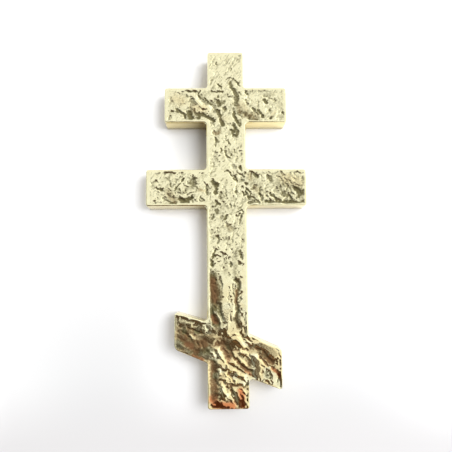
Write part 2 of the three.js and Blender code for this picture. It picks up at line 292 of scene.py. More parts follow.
HEAD_MARKS = [
    (.9, .7, 10.8, 176.9, 12.5, 175.1), (.9, .6, -11, 159.5, -9.8, 157.8, -7, 157.4, -6.5, 155.9),
    (1.3, .8, 4.2, 156.1, 5.3, 154.3), (1.3, .7, 8, 156.6, 8.6, 157.3, 9.9, 158.5, 11.6, 159.3),
    (.9, .6, 11.6, 170.9, 12.4, 168.5), (.8, .55, -6.7, 170.9, -6.9, 169.2, -6.1, 168.8),
    (1.3, .5, -6.3, 167.5, -6.3, 165.8, -5.7, 164.5), (.9, .6, 4.1, 166.2, 3.8, 164.5),
    (.8, .5, 1.9, 165), (.5, .45, -9.9, 186.3, -8.9, 187.1), (.5, .45, -8.5, 181.1, -7.6, 182),
    (.5, .5, -9.5, 181.8, -8.5, 183), (.5, .5, -6.4, 185.7, -5, 187.6),
    (.5, .4, -4.1, 184.2, -3.5, 185.1), (1.2, .5, 5.8, 166.2, 7.8, 164.9, 8.2, 163.7),
    (.8, .4, -1.7, 160.7, -2.5, 159.5), (1, .7, -5.4, 193, -5.4, 192.4), (.7, .4, -5.4, 195.2),
    (.7, .4, -3, 195.5), (.6, .4, -2.7, 192), (.6, .45, -.4, 192.4, .2, 194, 1, 196.2),
    (.8, .6, -.4, 192.2), (.5, .4, 2, 196, 1.4, 195), (.6, .4, 5.5, 195.6, 5, 194),
    (.8, .5, 3.8, 194, 3.8, 193), (.7, .5, 6.2, 193, 4.8, 191), (.8, .6, 3.2, 190, 3.2, 189),
    (.6, .5, 1.8, 190, 1.3, 188.3), (.8, .4, 5.3, 188.2), (.6, .35, -7, 193.4, -8.2, 191.2),
    (.8, .45, -5, 185.2), (.6, .4, -3.9, 186), (.9, .5, -2.1, 184.7), (.7, .4, -6.8, 184.4, -8.4, 182),
    (1, .85, -4.9, 180.6, -3.6, 179.8, -2.4, 178.8), (1, .7, -2.4, 179, -2.4, 177.8),
    (.9, .8, -8.2, 176.6, -6.6, 175.8, -5.4, 175.6, -4, 176.3, -2.8, 176.3, -1.6, 175.9),
    (1, .75, -4.4, 173.8, -4.2, 173), (1, .5, -6.6, 171.2, -5, 170.8),
    (1.8, .8, -4.4, 170, -3.8, 169.2, -3.6, 168), (1.4, .6, -2.4, 170.4, -2.2, 169),
    (1.3, .7, -1.6, 169.6, -.8, 169.2, -.6, 170.4), (1.8, .7, -1, 166.2, -.2, 165.6),
    (1.1, .5, 1.4, 174, 1.6, 173), (1, .6, 1.6, 172.9, 3, 172.8, 4, 173.4),
    (1.7, .75, 3, 181.8, 3.2, 180, 3.2, 178.6, 4, 177.6, 5, 176.6, 5.8, 175.2, 6.6, 173.6, 6.8, 172),
    (2.4, .75, 6.6, 173, 6.2, 170.8, 6, 168.6), (1.5, .6, 5, 168.8, 7, 168),
    (.8, .75, .2, 183.6, 3, 184.4, 5, 183.2, 6.4, 182, 8.2, 180, 9.8, 178.4, 10.8, 177),
    (1.2, .35, 10.8, 177, 12.4, 175, 13, 173.4), (.9, .6, 7.6, 175.8, 8.6, 174.4, 9, 174.2),
    (.9, .6, 4.4, 166.8, 4.8, 165.6, 4.2, 164.6), (.9, .4, 2, 165.2),
    (2.6, .5, 7.6, 167.5, 8, 165, 8.4, 164), (1.6, .6, 8.2, 164.6),
    (1.6, .85, 4.8, 163.6, 4.9, 161.6, 5.6, 160, 6.2, 158.8, 7, 157.8),
    (.8, .6, 6.6, 164, 7.6, 162.4, 8.6, 160.8, 9.6, 159.4, 10, 158.6),
    (.9, .7, 4, 157.2, 5, 156.8, 5.4, 155.6),
]
UPPER_RIGHT = [
    (.9, .8, 6.1, 181.8, 8.4, 179.4, 10.7, 176.9, 12.6, 174.5),
    (.9, .6, 18.9, 169.7, 18.6, 166.8, 19.4, 164.4, 21.1, 162),
    (1.1, .7, 15.1, 166.8, 16.8, 163.8, 18.5, 162.6), (2.2, .5, 22.7, 173.9, 25, 173.3),
    (1.2, .6, 27.9, 171.5, 28.2, 171.1), (.9, .7, 17.9, 159.6, 19.6, 159.3),
    (1.2, .6, 8.1, 159.1, 9.8, 158.5, 8.1, 156.7),
    (1.2, .8, 7, 156.4, 8, 155.6, 8.6, 156.6, 9.6, 157.6, 10.2, 158.8, 11.4, 159.5, 13.2, 159.8, 16.8,
     159.4), (1.3, .8, 17.8, 159.4), (1.5, .6, 10.6, 163, 10.8, 161.4), (1.3, .6, 12.6, 161.2),
    (1.2, .4, 13.6, 163.6), (1.2, .5, 15.2, 161.6, 16.6, 160.6),
    (.9, .65, 11.9, 171.4, 11.8, 170, 12.3, 169, 13, 168.4), (1, .8, 15.6, 166.2, 16.4, 165.4, 17, 164.6),
    (.7, .6, 19, 167.8, 18.8, 166.8),
    (1.1, .8, 18.4, 165.2, 18.9, 164.2, 19.6, 163.2, 20.6, 162.6, 21.4, 161.8), (1.6, .9, 21.3, 161.8),
    (1.1, .7, 22, 173.6, 22.8, 173.2, 23.4, 172.9), (1.8, .45, 23.6, 173, 25.4, 173.4),
    (.8, .6, 25.4, 172.6, 26.4, 171.4, 27.4, 171.2, 28.2, 171.4, 28.8, 170.4),
    (1.3, .9, 21.9, 171, 22.8, 170.2, 23.6, 169.8), (.8, .55, 26.4, 167.6, 26.8, 167.1),
    (1.4, .7, 25.2, 164.9), (.9, .85, 32.6, 163.6, 33.4, 162.5), (1.6, .4, 32.2, 168.2),
    (.9, .35, 31, 167, 30.4, 165.8), (1.5, .45, 18.4, 176.9, 20, 176.5, 22.6, 176.4),
    (.9, .5, 15.4, 176.6, 15.5, 175.8), (1.3, .4, 12, 175, 12.8, 174, 13.2, 172.6),
    (1.2, .8, 25.2, 159.6, 26.6, 159.9), (.7, .5, 26.8, 160.4, 27.6, 161.6, 28.2, 163.4),
    (.8, .45, 29.2, 160.7), (.8, .5, 20.4, 159.4), (.9, .45, 22, 160.4, 23, 161.4),
    (.8, .6, 13, 158.7, 17.5, 158.9),
]
print(f"upper bar and head: {len(UPPER_LEFT) + len(HEAD_MARKS) + len(UPPER_RIGHT)} marks")

# %% Marks on the middle bar
MIDDLE_LEFT = [
    (.8, .6, -26.1, 126.3, -29.8, 120.9), (1.4, .7, -11.1, 120.5, -10.8, 116.7),
    (1.3, .6, -3.7, 116.7, -3.1, 114.1), (1.1, .6, -8.7, 108.5, -5.6, 110.4, -3.7, 110.4),
    (.8, .85, -23.9, 125.2, -26, 122.8, -28, 120.2, -29, 118.9, -29.6, 117.9),
    (.8, .55, -24.8, 126.2, -26.6, 125, -28.2, 123.4, -29.4, 121.5), (.9, .5, -32.4, 124.2, -32, 123.5),
    (1.1, .75, -31.5, 122.4, -31.3, 120.8), (.7, .45, -32.9, 119.6, -31.6, 118.2),
    (1.2, .85, -38.6, 119.3, -37.2, 119.4, -36.3, 118.9), (.8, .35, -34.8, 125.4, -33.8, 125.6),
    (.8, .45, -42.5, 124, -42.4, 122.4), (2.8, .65, -19.6, 123.5, -18.4, 124.4, -18.4, 122, -19, 121),
    (.9, .75, -17.6, 121.4, -16.4, 120.6, -16.2, 119.6), (.8, .6, -16.6, 118.6, -17.2, 117.4),
    (.9, .6, -22, 123.6, -21.5, 122.8), (.7, .6, -24, 121.8, -22.8, 120.6, -21.4, 120, -20.6, 120.6),
    (.8, .75, -26.4, 119, -25.8, 118.2),
    (1, .55, -26, 116.8, -24.6, 116.6, -23, 116.6, -22.8, 117.4, -23.6, 118.4, -22.6, 118.6),
    (.8, .5, -27.6, 116.6, -26.8, 117), (.9, .5, -29.2, 117.2, -28.6, 116.6),
    (.8, .6, -22, 116, -20.6, 116.6, -19.4, 117, -18.4, 117.6), (.9, .4, -38.9, 116.9),
    (1, .4, -37.2, 116.3, -35, 115.6), (1.2, .6, -35.8, 114.2, -34.8, 114),
    (1, .75, -34.4, 113.2, -32.6, 112.6, -31.8, 112.3), (.9, .5, -38.6, 114.4, -38.3, 113.4),
    (1.1, .85, -39.8, 111.4), (.9, .4, -36.9, 111.2), (.9, .65, -32.8, 116.6, -32.4, 115.4),
    (1.4, .85, -31.6, 110.8, -30.4, 111.4, -29, 111.8, -28.8, 110.8), (1, .7, -39.2, 110, -37.4, 110.4),
    (.6, .7, -43, 109.7, -30, 109.9, -13, 110),
    (1.8, 1, -26, 113.4, -24.4, 112.8, -23, 112.4, -21.8, 113.4, -20.6, 113.8, -19.6, 114.4),
    (1.4, .8, -25.4, 112, -21.2, 111.8), (.8, .7, -27.3, 113.4), (1.1, .7, -19.2, 113.4, -19, 111.8),
    (2.4, .45, -31.5, 114.5, -30, 113.6, -29.4, 112.6),
]
CROSSING = [
    (.9, .65, -14.8, 114.6, -13.6, 113.6, -12.8, 112.6, -14.4, 112.4, -15.6, 112.6),
    (.9, .7, -11.2, 120, -11, 118, -10.8, 116.6, -10.4, 115.6),
    (.7, .45, -8.8, 116.8, -8.9, 115, -9.4, 113.6, -9.5, 112.8),
    (1.6, .85, -7.6, 123.6, -7.2, 122, -6.4, 121.2, -5.4, 121.8, -5.2, 120.6, -6, 119.2, -6.4, 117.6,
     -5.8, 117), (.8, .75, -2.7, 117, -2.9, 115.4, -3.1, 114), (.8, .5, -4.6, 114.6, -4.2, 115.4),
    (.8, .5, -3.3, 123.4), (.8, .4, -1.9, 120.4), (.7, .5, -.4, 120.6), (.7, .5, -.6, 119, -.5, 118.2),
    (.8, .65, -.4, 117.2, -.4, 115), (.5, .4, 0, 114.6, 1, 113, 1.8, 112.6), (.8, .4, 1.9, 122),
    (.9, .7, -6.8, 112.4, -5.8, 112), (1.1, .8, -5.6, 111, -4.6, 110.6, -3.8, 110),
    (.5, .4, -6, 113, -8, 110.6), (1, .5, -2.2, 112, -2, 111.2),
    (.8, .75, -.8, 129.4, .2, 129.6, 1.2, 129, 2, 127.8, 3.2, 126.3),
    (1.4, .75, 4.4, 126, 5, 124.8, 5.8, 124), (.8, .5, 3.6, 128.6, 4.4, 127.8),
    (.8, .7, 5.8, 129.4, 6.6, 128.2, 8, 127.2, 9.2, 126.8, 9.8, 125.6), (.6, .55, 5, 120.4, 6.4, 121.4),
    (1.1, .7, 5.2, 118, 5.6, 116.4), (.7, .4, 3, 118.6, 3.4, 117.4, 2.8, 116.4),
    (.8, .5, 5.8, 115.4, 5.8, 114.6), (.8, .45, 3.8, 114.4, 3.6, 113),
    (.9, .6, 5.2, 113, 4.6, 111, 4.2, 109), (1, .85, 4.2, 109.4), (.9, .65, 2, 110.4, 2.4, 109),
    (1.5, .9, 7.8, 131.6, 8.8, 130.6, 9.6, 130, 10.4, 129.2, 10.6, 128.4),
]
MIDDLE_RIGHT = [
    (.8, .55, 28, 126.5, 30.3, 125.7, 31.5, 123.6, 32.1, 120.7),
    (.8, .6, 33.5, 124.4, 33.8, 121.6, 35.4, 120, 36.7, 121.1), (.9, .75, 35.9, 130, 39, 129.3),
    (.9, .7, 18.6, 119.8, 18.9, 116.5, 20, 114.6, 19.6, 112.2),
    (.6, .45, 21.7, 119.1, 21, 117.4, 22.1, 115.9, 23, 117.2), (1.3, .6, 29.7, 119),
    (1, .7, 31.1, 116.2, 32.7, 116.9, 33.5, 115.2, 31.9, 114.3),
    (.8, .6, 34.6, 116.4, 35.9, 114.5, 35.6, 112.4), (1.3, .75, 12.2, 110.8, 14.1, 111.9, 15.4, 112.3),
    (1.2, .8, 22.2, 112.1), (.9, .6, 6.6, 108, 8.6, 109.7), (1.4, .5, 30.9, 128.4, 32, 127.6),
    (.9, .65, 25.9, 116.2, 27.3, 114.1, 27.7, 112.2), (.7, .4, 38.4, 126.9, 37.9, 125.4, 40.2, 123.5),
    (.9, .4, 23.8, 128.9, 25.7, 127.9), (.6, .4, 19.5, 126.5, 20.4, 124.6, 19, 123.6),
    (1.3, .7, 13, 129.2, 14, 128.4, 13.8, 127), (1.1, .5, 12.2, 126.8),
    (1.4, .85, 16, 127.4, 16.4, 126.6, 17.2, 126), (.8, .7, 8, 124.6, 9.4, 124, 9.8, 123.8),
    (1, .8, 10.4, 122.4, 11.4, 121.8, 12, 122), (.8, .6, 12.8, 124.2), (.8, .5, 14.8, 123.4),
    (.8, .75, 8, 120, 8.6, 120.4, 9.6, 119.8), (.6, .4, 7.9, 118.4, 7.9, 117.2),
    (1, .85, 11, 119, 12, 118.6, 13, 117.8, 13.4, 117.4), (1, .8, 9.2, 117.2, 9.8, 115.6),
    (1.2, .75, 10, 116.2, 10.8, 116, 11, 117, 10.6, 117.8),
    (.9, .8, 13.6, 116.4, 13.4, 115.4, 14, 114.6, 15.2, 114, 16.4, 113, 17.4, 112.4, 18.4, 111.4,
     18.8, 110.8), (1.3, .8, 11.8, 115.2, 12.4, 114.2, 12.8, 113.8),
    (1.5, .65, 15.8, 121, 16.4, 120.6, 15.8, 120, 15, 119.6, 14.6, 119.2), (.6, .4, 17, 119.6, 16.4, 118),
    (.9, .8, 18.9, 120, 19, 118.4, 19, 117.4), (1, .9, 18.6, 116.4, 18.8, 115.4, 19, 114.9),
    (1.4, .5, 20, 114.8, 20.2, 113.4, 19.4, 113), (.8, .65, 19.8, 123.9), (.8, .5, 20.9, 123.3),
    (1.1, .4, 20.4, 128.6, 22, 128.2, 23.6, 128.6, 24.6, 128.4),
    (1.4, .5, 26, 127.6, 27, 128, 27.8, 128.8), (2, .7, 23.6, 125.8, 25.4, 125.6, 25, 123.6),
    (.9, .5, 28.2, 126.4, 30, 126, 30.8, 124.6, 31.4, 122.8, 31.8, 121),
    (.6, .35, 26.6, 122.4, 26.4, 120.4, 26.6, 119), (1.6, .5, 28, 119, 27.4, 117.6, 28.4, 117.2),
    (1.5, .6, 30.4, 120, 30.4, 118.6), (.8, .5, 24.4, 118.2), (.6, .4, 21.4, 119, 22, 117.6, 22.6, 116.6),
    (.9, .6, 22.4, 115.2, 23.2, 114.2), (1.2, .85, 24.6, 116.4, 26, 115, 27.2, 113.8, 28.2, 112.8),
    (1.2, .9, 22.1, 112.2, 22.8, 111.8), (1, .55, 20, 110), (1, .6, 23.2, 110),
    (.9, .6, 11.4, 110.4, 12.6, 111.6, 13.2, 112.2),
    (1, .65, 13.4, 110.2, 14.2, 111, 15.4, 111.6, 17.6, 111.4, 18.6, 110.8),
    (.9, .5, 7.6, 108.4, 8.4, 109.6, 9, 110.2), (1, .8, 36.2, 130, 37.4, 129.8, 38.8, 129.2, 39.4, 129),
    (.9, .5, 31, 129.9, 32.4, 129.5), (1.4, .5, 31.4, 128.6, 32, 127.8, 32.6, 126.8),
    (.9, .45, 36, 128.1), (1, .45, 32.4, 125.4, 33.2, 124.4, 34, 124),
    (.9, .7, 33, 123, 33.8, 121.8, 34.2, 120.8, 34.8, 119.8),
    (.9, .55, 35.2, 124.2, 35.8, 123, 36.4, 122, 37.2, 121.6, 38.4, 122.2),
    (1.1, .6, 38.2, 122.6, 39, 121.8, 40, 121.4, 40.6, 120.6), (.8, .5, 37.2, 126.6, 37.6, 125.4),
    (.9, .45, 38.2, 128.2, 39.2, 126.6, 39.8, 125.8), (1, .5, 42.4, 125.8, 43.6, 124.8, 44, 124.2),
    (.8, .4, 43, 122.6, 44.2, 121.8), (1.2, .65, 31.2, 117.2, 32.6, 116.8, 33.6, 117.4, 34, 118.6),
    (1.6, .7, 31.6, 116, 33.4, 115.8, 34.6, 115.4),
    (.9, .6, 35.8, 119.6, 36, 118, 36.4, 116.6, 37.4, 116, 38.6, 115.6),
    (1.1, .75, 35.6, 115.6, 36.2, 114.2, 36.8, 112.8, 37, 111.8),
    (1.2, .6, 34.4, 114.6, 34, 113.6, 32.8, 112.6),
    (2, .85, 38.4, 119.4, 39.4, 118.8, 40.6, 117.8, 41.6, 116.8, 42.6, 117, 43.6, 117.4),
    (1.4, .8, 41, 116, 40.6, 115), (1, .7, 42, 119.4),
    (1, .6, 43.4, 118.6, 44.4, 118.4, 44.6, 119.8, 44, 121),
    (1.6, .85, 44.6, 117, 44.9, 115.4, 44.6, 113.6, 44.2, 112.4, 43.2, 111.6),
    (1.4, .7, 43, 116, 44, 115.6), (1, .75, 39.4, 113.8),
    (1.8, .85, 24.4, 111.4, 27, 110.8, 29.6, 110.8, 32, 111.4, 34.4, 111.6, 36.4, 111.4, 38, 110.8,
     39.6, 110.4, 41.4, 110.8), (1.6, .7, 29, 112.4, 30.2, 112), (1, .6, 36.8, 112.2, 38, 112.6),
    (.9, .7, 41.6, 111.6, 42, 110.6),
]
print(f"middle bar: {len(MIDDLE_LEFT) + len(CROSSING) + len(MIDDLE_RIGHT)} marks")

# %% Marks on the stem
STEM_HIGH = [
    (1.3, .8, 2.6, 153.6, 3.4, 152.4, 4, 151.2, 5, 150, 6.2, 150, 6.9, 151.2, 6.6, 152.8, 5.6, 153.6),
    (2, .75, 3.6, 152.8, 4.6, 152.6, 5.4, 153.4), (.9, .75, 5.4, 155.8), (.8, .6, .4, 154.4),
    (1.8, .6, -6.6, 152, -5.4, 151.4, -4.4, 151.6, -3.8, 152.6), (.7, .4, -2.4, 152.2, -2.4, 150.8),
    (1, .45, -3.8, 149.8, -4.4, 149.2),
    (1.1, .7, -6.4, 149, -5.8, 147.6, -5.4, 146.4, -5.5, 145, -5.6, 144.2),
    (1.2, .6, -4.8, 146.6, -4.4, 146), (1, .6, -.1, 149.6, -.2, 148.4),
    (.8, .75, .9, 147.2, 1.2, 146, 1.8, 145.2), (1, .5, 2.4, 144.4), (.8, .4, 5.8, 147.2, 5.8, 145.6),
    (1, .55, 6.4, 142.5), (.9, .6, -.3, 143.6, -.6, 142.6), (1, .7, -3, 142.4, -2.4, 141.4, -3, 140.6),
    (1, .75, -.6, 141, -.4, 139.6, -.2, 138.6, .6, 137.8, 1.6, 137.2, 2.3, 136.8),
    (1, .45, 1.2, 142, 1.6, 140.4, 2.4, 139.4), (1.5, .75, 2.9, 138.9), (1, .5, 3.6, 137.8),
    (.9, .55, 4.4, 141.4, 5, 140.2), (.9, .6, 7.6, 141.2, 8.8, 141.2, 9.4, 140.6),
    (.8, .5, 8.4, 139.8, 8.4, 138.9), (.8, .5, 6.4, 137.7), (.9, .65, 9.2, 135.8),
    (.8, .4, -9.4, 141, -9.9, 138, -10, 135.6), (.8, .4, -6.4, 137.8, -7.4, 136.8, -8.4, 136),
    (.7, .45, -4.2, 138.4, -4.8, 136.6, -4.6, 135, -3.4, 134.6),
    (1.4, .5, 3.4, 132.4, 4.2, 131.8, 4.8, 131.2), (.9, .4, -2.6, 130.4),
]
STEM_MIDDLE = [
    (2.2, .65, -5.6, 106.8, -5.4, 105.8), (1, .6, -8.9, 104.2),
    (1.2, .7, -7.4, 104.4, -7.6, 103.2, -8.4, 102.4), (1.8, .6, -2.8, 103.8, -3, 102.8),
    (1.3, .85, -.4, 103.8, -.8, 102.4, -1.2, 102), (1, .5, -2.2, 101, -2.6, 100.8), (.6, .5, -.6, 106.3),
    (.9, .5, 2.4, 104.6), (.8, .9, 5.2, 105.8, 6.4, 106.2, 7.2, 106.8, 8.2, 107, 9.2, 106.2, 9.5, 105.2),
    (.8, .8, 5.2, 103.8, 6.2, 104, 7, 104.8, 8.2, 105, 9, 105.2),
    (1.2, .65, 9, 105.4, 8.4, 104.4, 8, 103, 7.4, 101.4, 7.1, 99.8),
    (.9, .5, 6.6, 97, 6.2, 95.6, 5.6, 94.4, 5.8, 92.6),
    (2.2, .5, .6, 98.6, 1.6, 97.6, 2.4, 96.8, 1.4, 96), (.8, .5, 1, 94.6), (.7, .5, 3.8, 97.4),
    (.8, .45, 4, 95, 3.4, 92.6, 2.8, 90.8, 2.6, 89.4), (.8, .55, 4.6, 88.6), (.9, .45, -9.2, 97.8),
    (.9, .5, -10.1, 96.2), (.9, .6, -5.4, 97, -5.4, 96.2), (.8, .65, -5.6, 95.2), (.8, .5, -6.8, 94),
    (1, .8, -5.9, 92.4, -5, 92.2, -4.7, 91.4), (1.2, .6, -4.6, 90.4, -4.8, 89, -5.8, 88.4),
    (1, .55, -4.6, 86.4), (.9, .4, -2.2, 91.4),
    (1.1, .85, -6.6, 84.8, -7.2, 83.4, -7.4, 82, -7, 81.6, -8, 80.8, -8.6, 79.8),
    (1.6, .85, -9.6, 79.6, -8.8, 78.8, -8.6, 77.4, -8.2, 76), (1, .6, -.4, 85.2), (.8, .4, -.2, 88),
    (.7, .4, 2.6, 85.2), (.8, .5, .4, 80.8, .2, 79.6), (1.2, .6, 3.2, 79.2),
    (1.1, .7, 1.8, 77.6, 2.2, 76.6, 2.4, 75.8), (.8, .6, 5.2, 79.6), (1.2, .7, 6.2, 77.4, 7, 76.8),
    (.9, .45, 8.4, 89, 8, 87.6, 8, 86), (1.3, .75, 7.4, 84.4, 7.2, 82.6, 7.6, 81.4, 8.4, 80.4),
]
STEM_LOW = [
    (1.6, .6, -9.6, 74, -9.6, 50), (.8, .7, -8, 72.4, -8, 70.6), (1.2, .8, -6.6, 68.4),
    (1, .7, -6.8, 66.4), (1, .7, -6.9, 61.8), (1.4, .65, -4, 69, -3.4, 66, -3.2, 63, -3.2, 60, -3, 57.6),
    (1.8, .75, -6.4, 56, -5, 54.6, -4.6, 52.6, -4.2, 50.6, -3.4, 48.4, -2.6, 46.4, -1.8, 44.4),
    (.9, .8, -7.6, 54.2, -6.8, 53.2), (2.6, .9, -8, 48, -7, 46.6, -6.6, 45.8), (1.4, .9, -8, 44.2),
    (1, .85, -5, 46.4, -5.2, 44), (.8, .75, .7, 61, .4, 59.6, .2, 58.4, .6, 57.4, 0, 56),
    (.8, .5, -.8, 57.6), (.6, .45, .5, 64.5, .6, 62), (1, .5, .9, 72, 1, 70.8),
    (.8, .95, 2.2, 57.2, 2.2, 54.8), (.9, .8, 1.6, 51, 1, 49.6, 1.4, 48, 1.6, 46),
    (1.6, .8, 4.4, 68.4, 5.8, 67, 6.4, 66, 6.2, 64, 5.4, 62, 5, 60, 4.6, 57, 5, 54, 5.2, 51, 5, 49,
     4.6, 47, 5.4, 44.6, 5.6, 42.6), (.8, .6, 2.6, 66, 2.4, 64, 3, 62, 3.4, 60, 3.8, 57.4),
    (1, .6, 4, 64.6), (1.2, .6, 3, 47.6, 3.4, 46), (.8, .55, 6.4, 72.6, 6, 71.6, 5.6, 70.4),
    (.9, .6, -2.2, 74.8, -2.6, 74.4), (.7, .6, -4.8, 71.6), (1.2, .75, 7.9, 69.2),
    (.9, .6, 8.2, 62, 8, 60.6, 7.6, 58.8, 6.8, 57.4, 6.4, 56.2),
    (.8, .75, 9.6, 49.6, 9.6, 47, 9.4, 45, 9.2, 43.6),
]
print(f"stem: {len(STEM_HIGH) + len(STEM_MIDDLE) + len(STEM_LOW)} marks")

# %% Marks on the footrest and the foot
FOOTREST_LEFT = [
    (1.2, .9, -26.8, 44, -26, 43.6),
    (1.1, 1, -22.2, 43, -21, 42.6, -20, 42.4, -19, 41.4, -17.6, 40.7, -16, 40.4, -14, 40),
    (1, .8, -18.4, 44.2, -17, 44.2), (.8, .5, -22.6, 46.6, -19.6, 46.2), (1, .7, -28, 41, -27, 40.8),
    (.9, .7, -24.4, 40.4, -23.6, 39.8, -22.4, 38.8, -21.4, 38, -20.6, 37.4), (1.2, .95, -18.4, 38.8),
    (1.2, .8, -11.6, 43), (.8, .6, -16.6, 35, -16.2, 33.4), (.9, .6, -14.6, 34, -13.6, 32.4),
    (1.4, .6, -12, 30),
]
FOOTREST_MIDDLE = [
    (2.4, .85, -6, 33.6, -4, 34.6, -2.4, 33.8, -1, 33, .2, 32, 1, 30.6, 1.6, 29.4, 2, 28),
    (3, .6, -3.4, 31.6, -2, 30.8, -1, 29, 0, 27, 0, 24.6), (1, .7, 2.4, 30.6, 4, 31, 5.6, 30.8),
    (1, .8, 7.6, 31.6, 9.4, 31, 10.6, 30.8),
    (1.4, 1, 3.4, 26.6, 4.4, 26.2, 5.2, 25, 6, 23.8, 7, 22.4, 8, 21.4, 9.6, 20.6, 11.4, 20, 12.8, 19.4),
    (.5, .6, -10, 27, -8, 25.6, -6.6, 24), (1.1, .9, 10.4, 36.8, 11.4, 36, 12.4, 35.2),
    (.8, .5, 7, 38, 8, 37, 8.6, 35), (1, .8, 8.6, 42, 9.2, 40.6), (3, .5, 10.8, 26, 11, 22),
]
FOOTREST_RIGHT = [
    (1.3, .95, 15, 31.6, 16.8, 30.8, 18.4, 30, 19.6, 29, 20.6, 28.2),
    (1.6, .8, 17, 28.6, 18.4, 28, 19.6, 27.6), (1.8, 1, 20.2, 26.6, 21.6, 25.6, 22.8, 24.6, 24.2, 24),
    (1.2, .85, 17.4, 26.8, 19, 25, 20.4, 23.6, 21, 22.6), (1, .7, 22.4, 22.4, 23.4, 21.4, 24, 20.8),
    (.9, .7, 26.6, 16, 26.6, 14.4, 26, 13.4), (1, .5, 19, 32.4, 20.4, 32.2, 21.4, 32),
    (1, .85, 21.2, 29.3), (1, .35, 23.6, 28.6), (.9, .6, 25.6, 31, 26.6, 29.6, 27.4, 28, 28.2, 26.6),
    (1, .75, 27.8, 23.2, 28, 22.4), (.8, .6, 27.8, 20.4), (2.6, .4, 12.7, 33, 12.7, 31),
    (.8, .6, 17.6, 22.6, 18.6, 21.6), (1.3, .85, 18.2, 18.8), (1.6, .6, 20.4, 18.6, 20.6, 17),
    (1, .8, 22.4, 18.6, 22.6, 16.6, 22.2, 15.6), (.8, .7, 19.8, 14.6, 21, 13.8, 22, 12.8, 23, 12.2),
    (.8, .4, 22.6, 14.6, 23.4, 13.6),
]
FOOT_MARKS = [
    (3.6, .75, -7.8, 24, -7.6, 15, -7.4, 7), (.9, .8, -9.4, 13.4, -9, 11.6, -8.4, 10.4, -7, 10),
    (1.4, .9, .4, 18.4), (1.2, .6, 2.6, 19, 4, 18.2, 5.4, 17, 5.6, 16), (1, .7, 1, 17, 2.6, 15, 3, 13.6),
    (1, .6, -5, 14.6, -3.6, 14.4, -2, 13.8), (1, .85, -.6, 13, .8, 12.8, 2.4, 12.4, 4, 12, 6.6, 12),
    (1.3, .8, 1.2, 12, 1.4, 10, 2, 8.4, 2.6, 7.4), (1, .75, 1.6, 7, 2.4, 5.8, 3, 4.6, 4, 3.4, 4.6, 2.4),
    (.7, .7, -1.6, 11.4, -.6, 10.8), (.8, .6, -1, 8.6),
    (1.2, 1, 8.4, 11.2, 9.2, 12, 10.2, 12.4, 10.6, 12.6), (.9, .8, 9.2, 13.4, 10.4, 13.8),
    (1, .7, 7, 9.6, 7.6, 8, 8.6, 7, 9.4, 6.4), (.6, .7, -9.4, 1.4, -8, .8, -4, .4, 4, .3, 8.6, .4),
]
foot_count = len(FOOTREST_LEFT + FOOTREST_MIDDLE + FOOTREST_RIGHT + FOOT_MARKS)
print(f"footrest and foot: {foot_count} marks")

# %% [markdown]
# ## Folds that stand up, warm patches and broad tarnish
#
# Some folds of the face stand up and were polished bright, most of them low on the cross, where the
# metal ran in long creases. In other places the metal is tinted golden, and in some coppery and
# brown: the strong copper and brown at the foot are painted reflection of a warm, dark room beyond it.
# Some broad areas have kept a thin dark skin. All are drawn in the same way as the marks: the second
# number is how high the fold stands, or how strong the warm patch or the skin is.

# %% Raised folds
FOLDS = [
    (2, .8, -18.5, 175, -16.6, 171.4, -14, 168, -9, 166),
    (1.6, .8, -20.2, 39.6, -19.6, 38.8, -18.8, 37.8), (1.4, .8, -12.6, 43.8, -12.8, 42.4, -12.4, 41.4),
    (2.4, 1, -10, 47.4, -10.2, 45, -9.4, 43.6), (1.4, .9, -6.8, 51.4, -5.4, 49.4, -4.2, 47.6, -3.8, 46.4),
    (3.6, .9, -1, 69, -1, 60, -.6, 54, -.4, 47, -.2, 43), (2.4, .6, 2.6, 56, 2.4, 50),
    (2.6, .8, 9, 72, 9.2, 64, 9, 56, 9.4, 52), (3.4, 1, 4.6, 37.4, 6.4, 36, 8, 34),
    (1.6, .8, 1, 39.6, 3, 39.8, 5, 39.6),
    (1.3, 1, 3.2, 29.4, 3.8, 28.2, 4.6, 27.2, 5.6, 26.4, 6.8, 25.6, 7.4, 24.4),
    (1.3, .9, 6.6, 30.4, 8, 29.8, 9.6, 29, 10.8, 28, 11.6, 26.6), (1.4, .9, 8.4, 24.4, 9, 23.2),
    (1.8, .9, -6, 32.4, -5.6, 31, -5.2, 30), (1.6, .9, -4.8, 29.4, -4, 28, -3, 26.6, -2, 25.6),
    (1.7, .8, -8.2, 29.4, -7.4, 28.4), (2.4, .9, -4, 24.4, -3.2, 23.6, -2, 24), (2, .9, 1.6, 25, 3, 24.6),
    (1.4, .8, -.4, 23, 0, 21.6, 1.4, 21, 2.4, 20.4), (1.4, .8, -4.6, 19.8, -4.4, 18.8),
    (2, .9, 3, 20, 4.6, 19, 6, 17.8, 8, 16.8),
    (2.6, 1, 13.4, 29, 14.4, 27.4, 15.4, 25.4, 16, 22, 15.4, 19, 16, 17), (3, .8, 23, 30.4, 25.6, 28.4),
    (2.2, 1, -4, 13.4, -3.4, 12.4), (1.9, 1, -3.2, 11.4, -2.6, 9.6, -2, 8, -1.2, 7),
    (1.4, .8, -2.4, 16, -1.4, 14.8, -.6, 14), (1.2, .8, -1.6, 18.4, -.4, 17.4),
    (1.1, .8, 1, 16, 1.8, 15.2), (1.3, .8, 3.4, 15.4, 3.8, 14),
    (2.4, .9, 6, 18, 8, 17, 9.6, 16, 10, 15.4), (2.6, .8, 6, 13.6, 8, 13.4),
    (2.2, 1, 3.6, 10, 4.6, 9.4, 5, 8, 5.4, 6.6, 5.8, 5), (2.6, 1, 8.2, 10, 8.4, 6, 8, 2),
    (3.4, 1, 11.5, 36.6, 17, 34.4, 28, 29.8),
]
print(f"raised folds: {len(FOLDS)}")
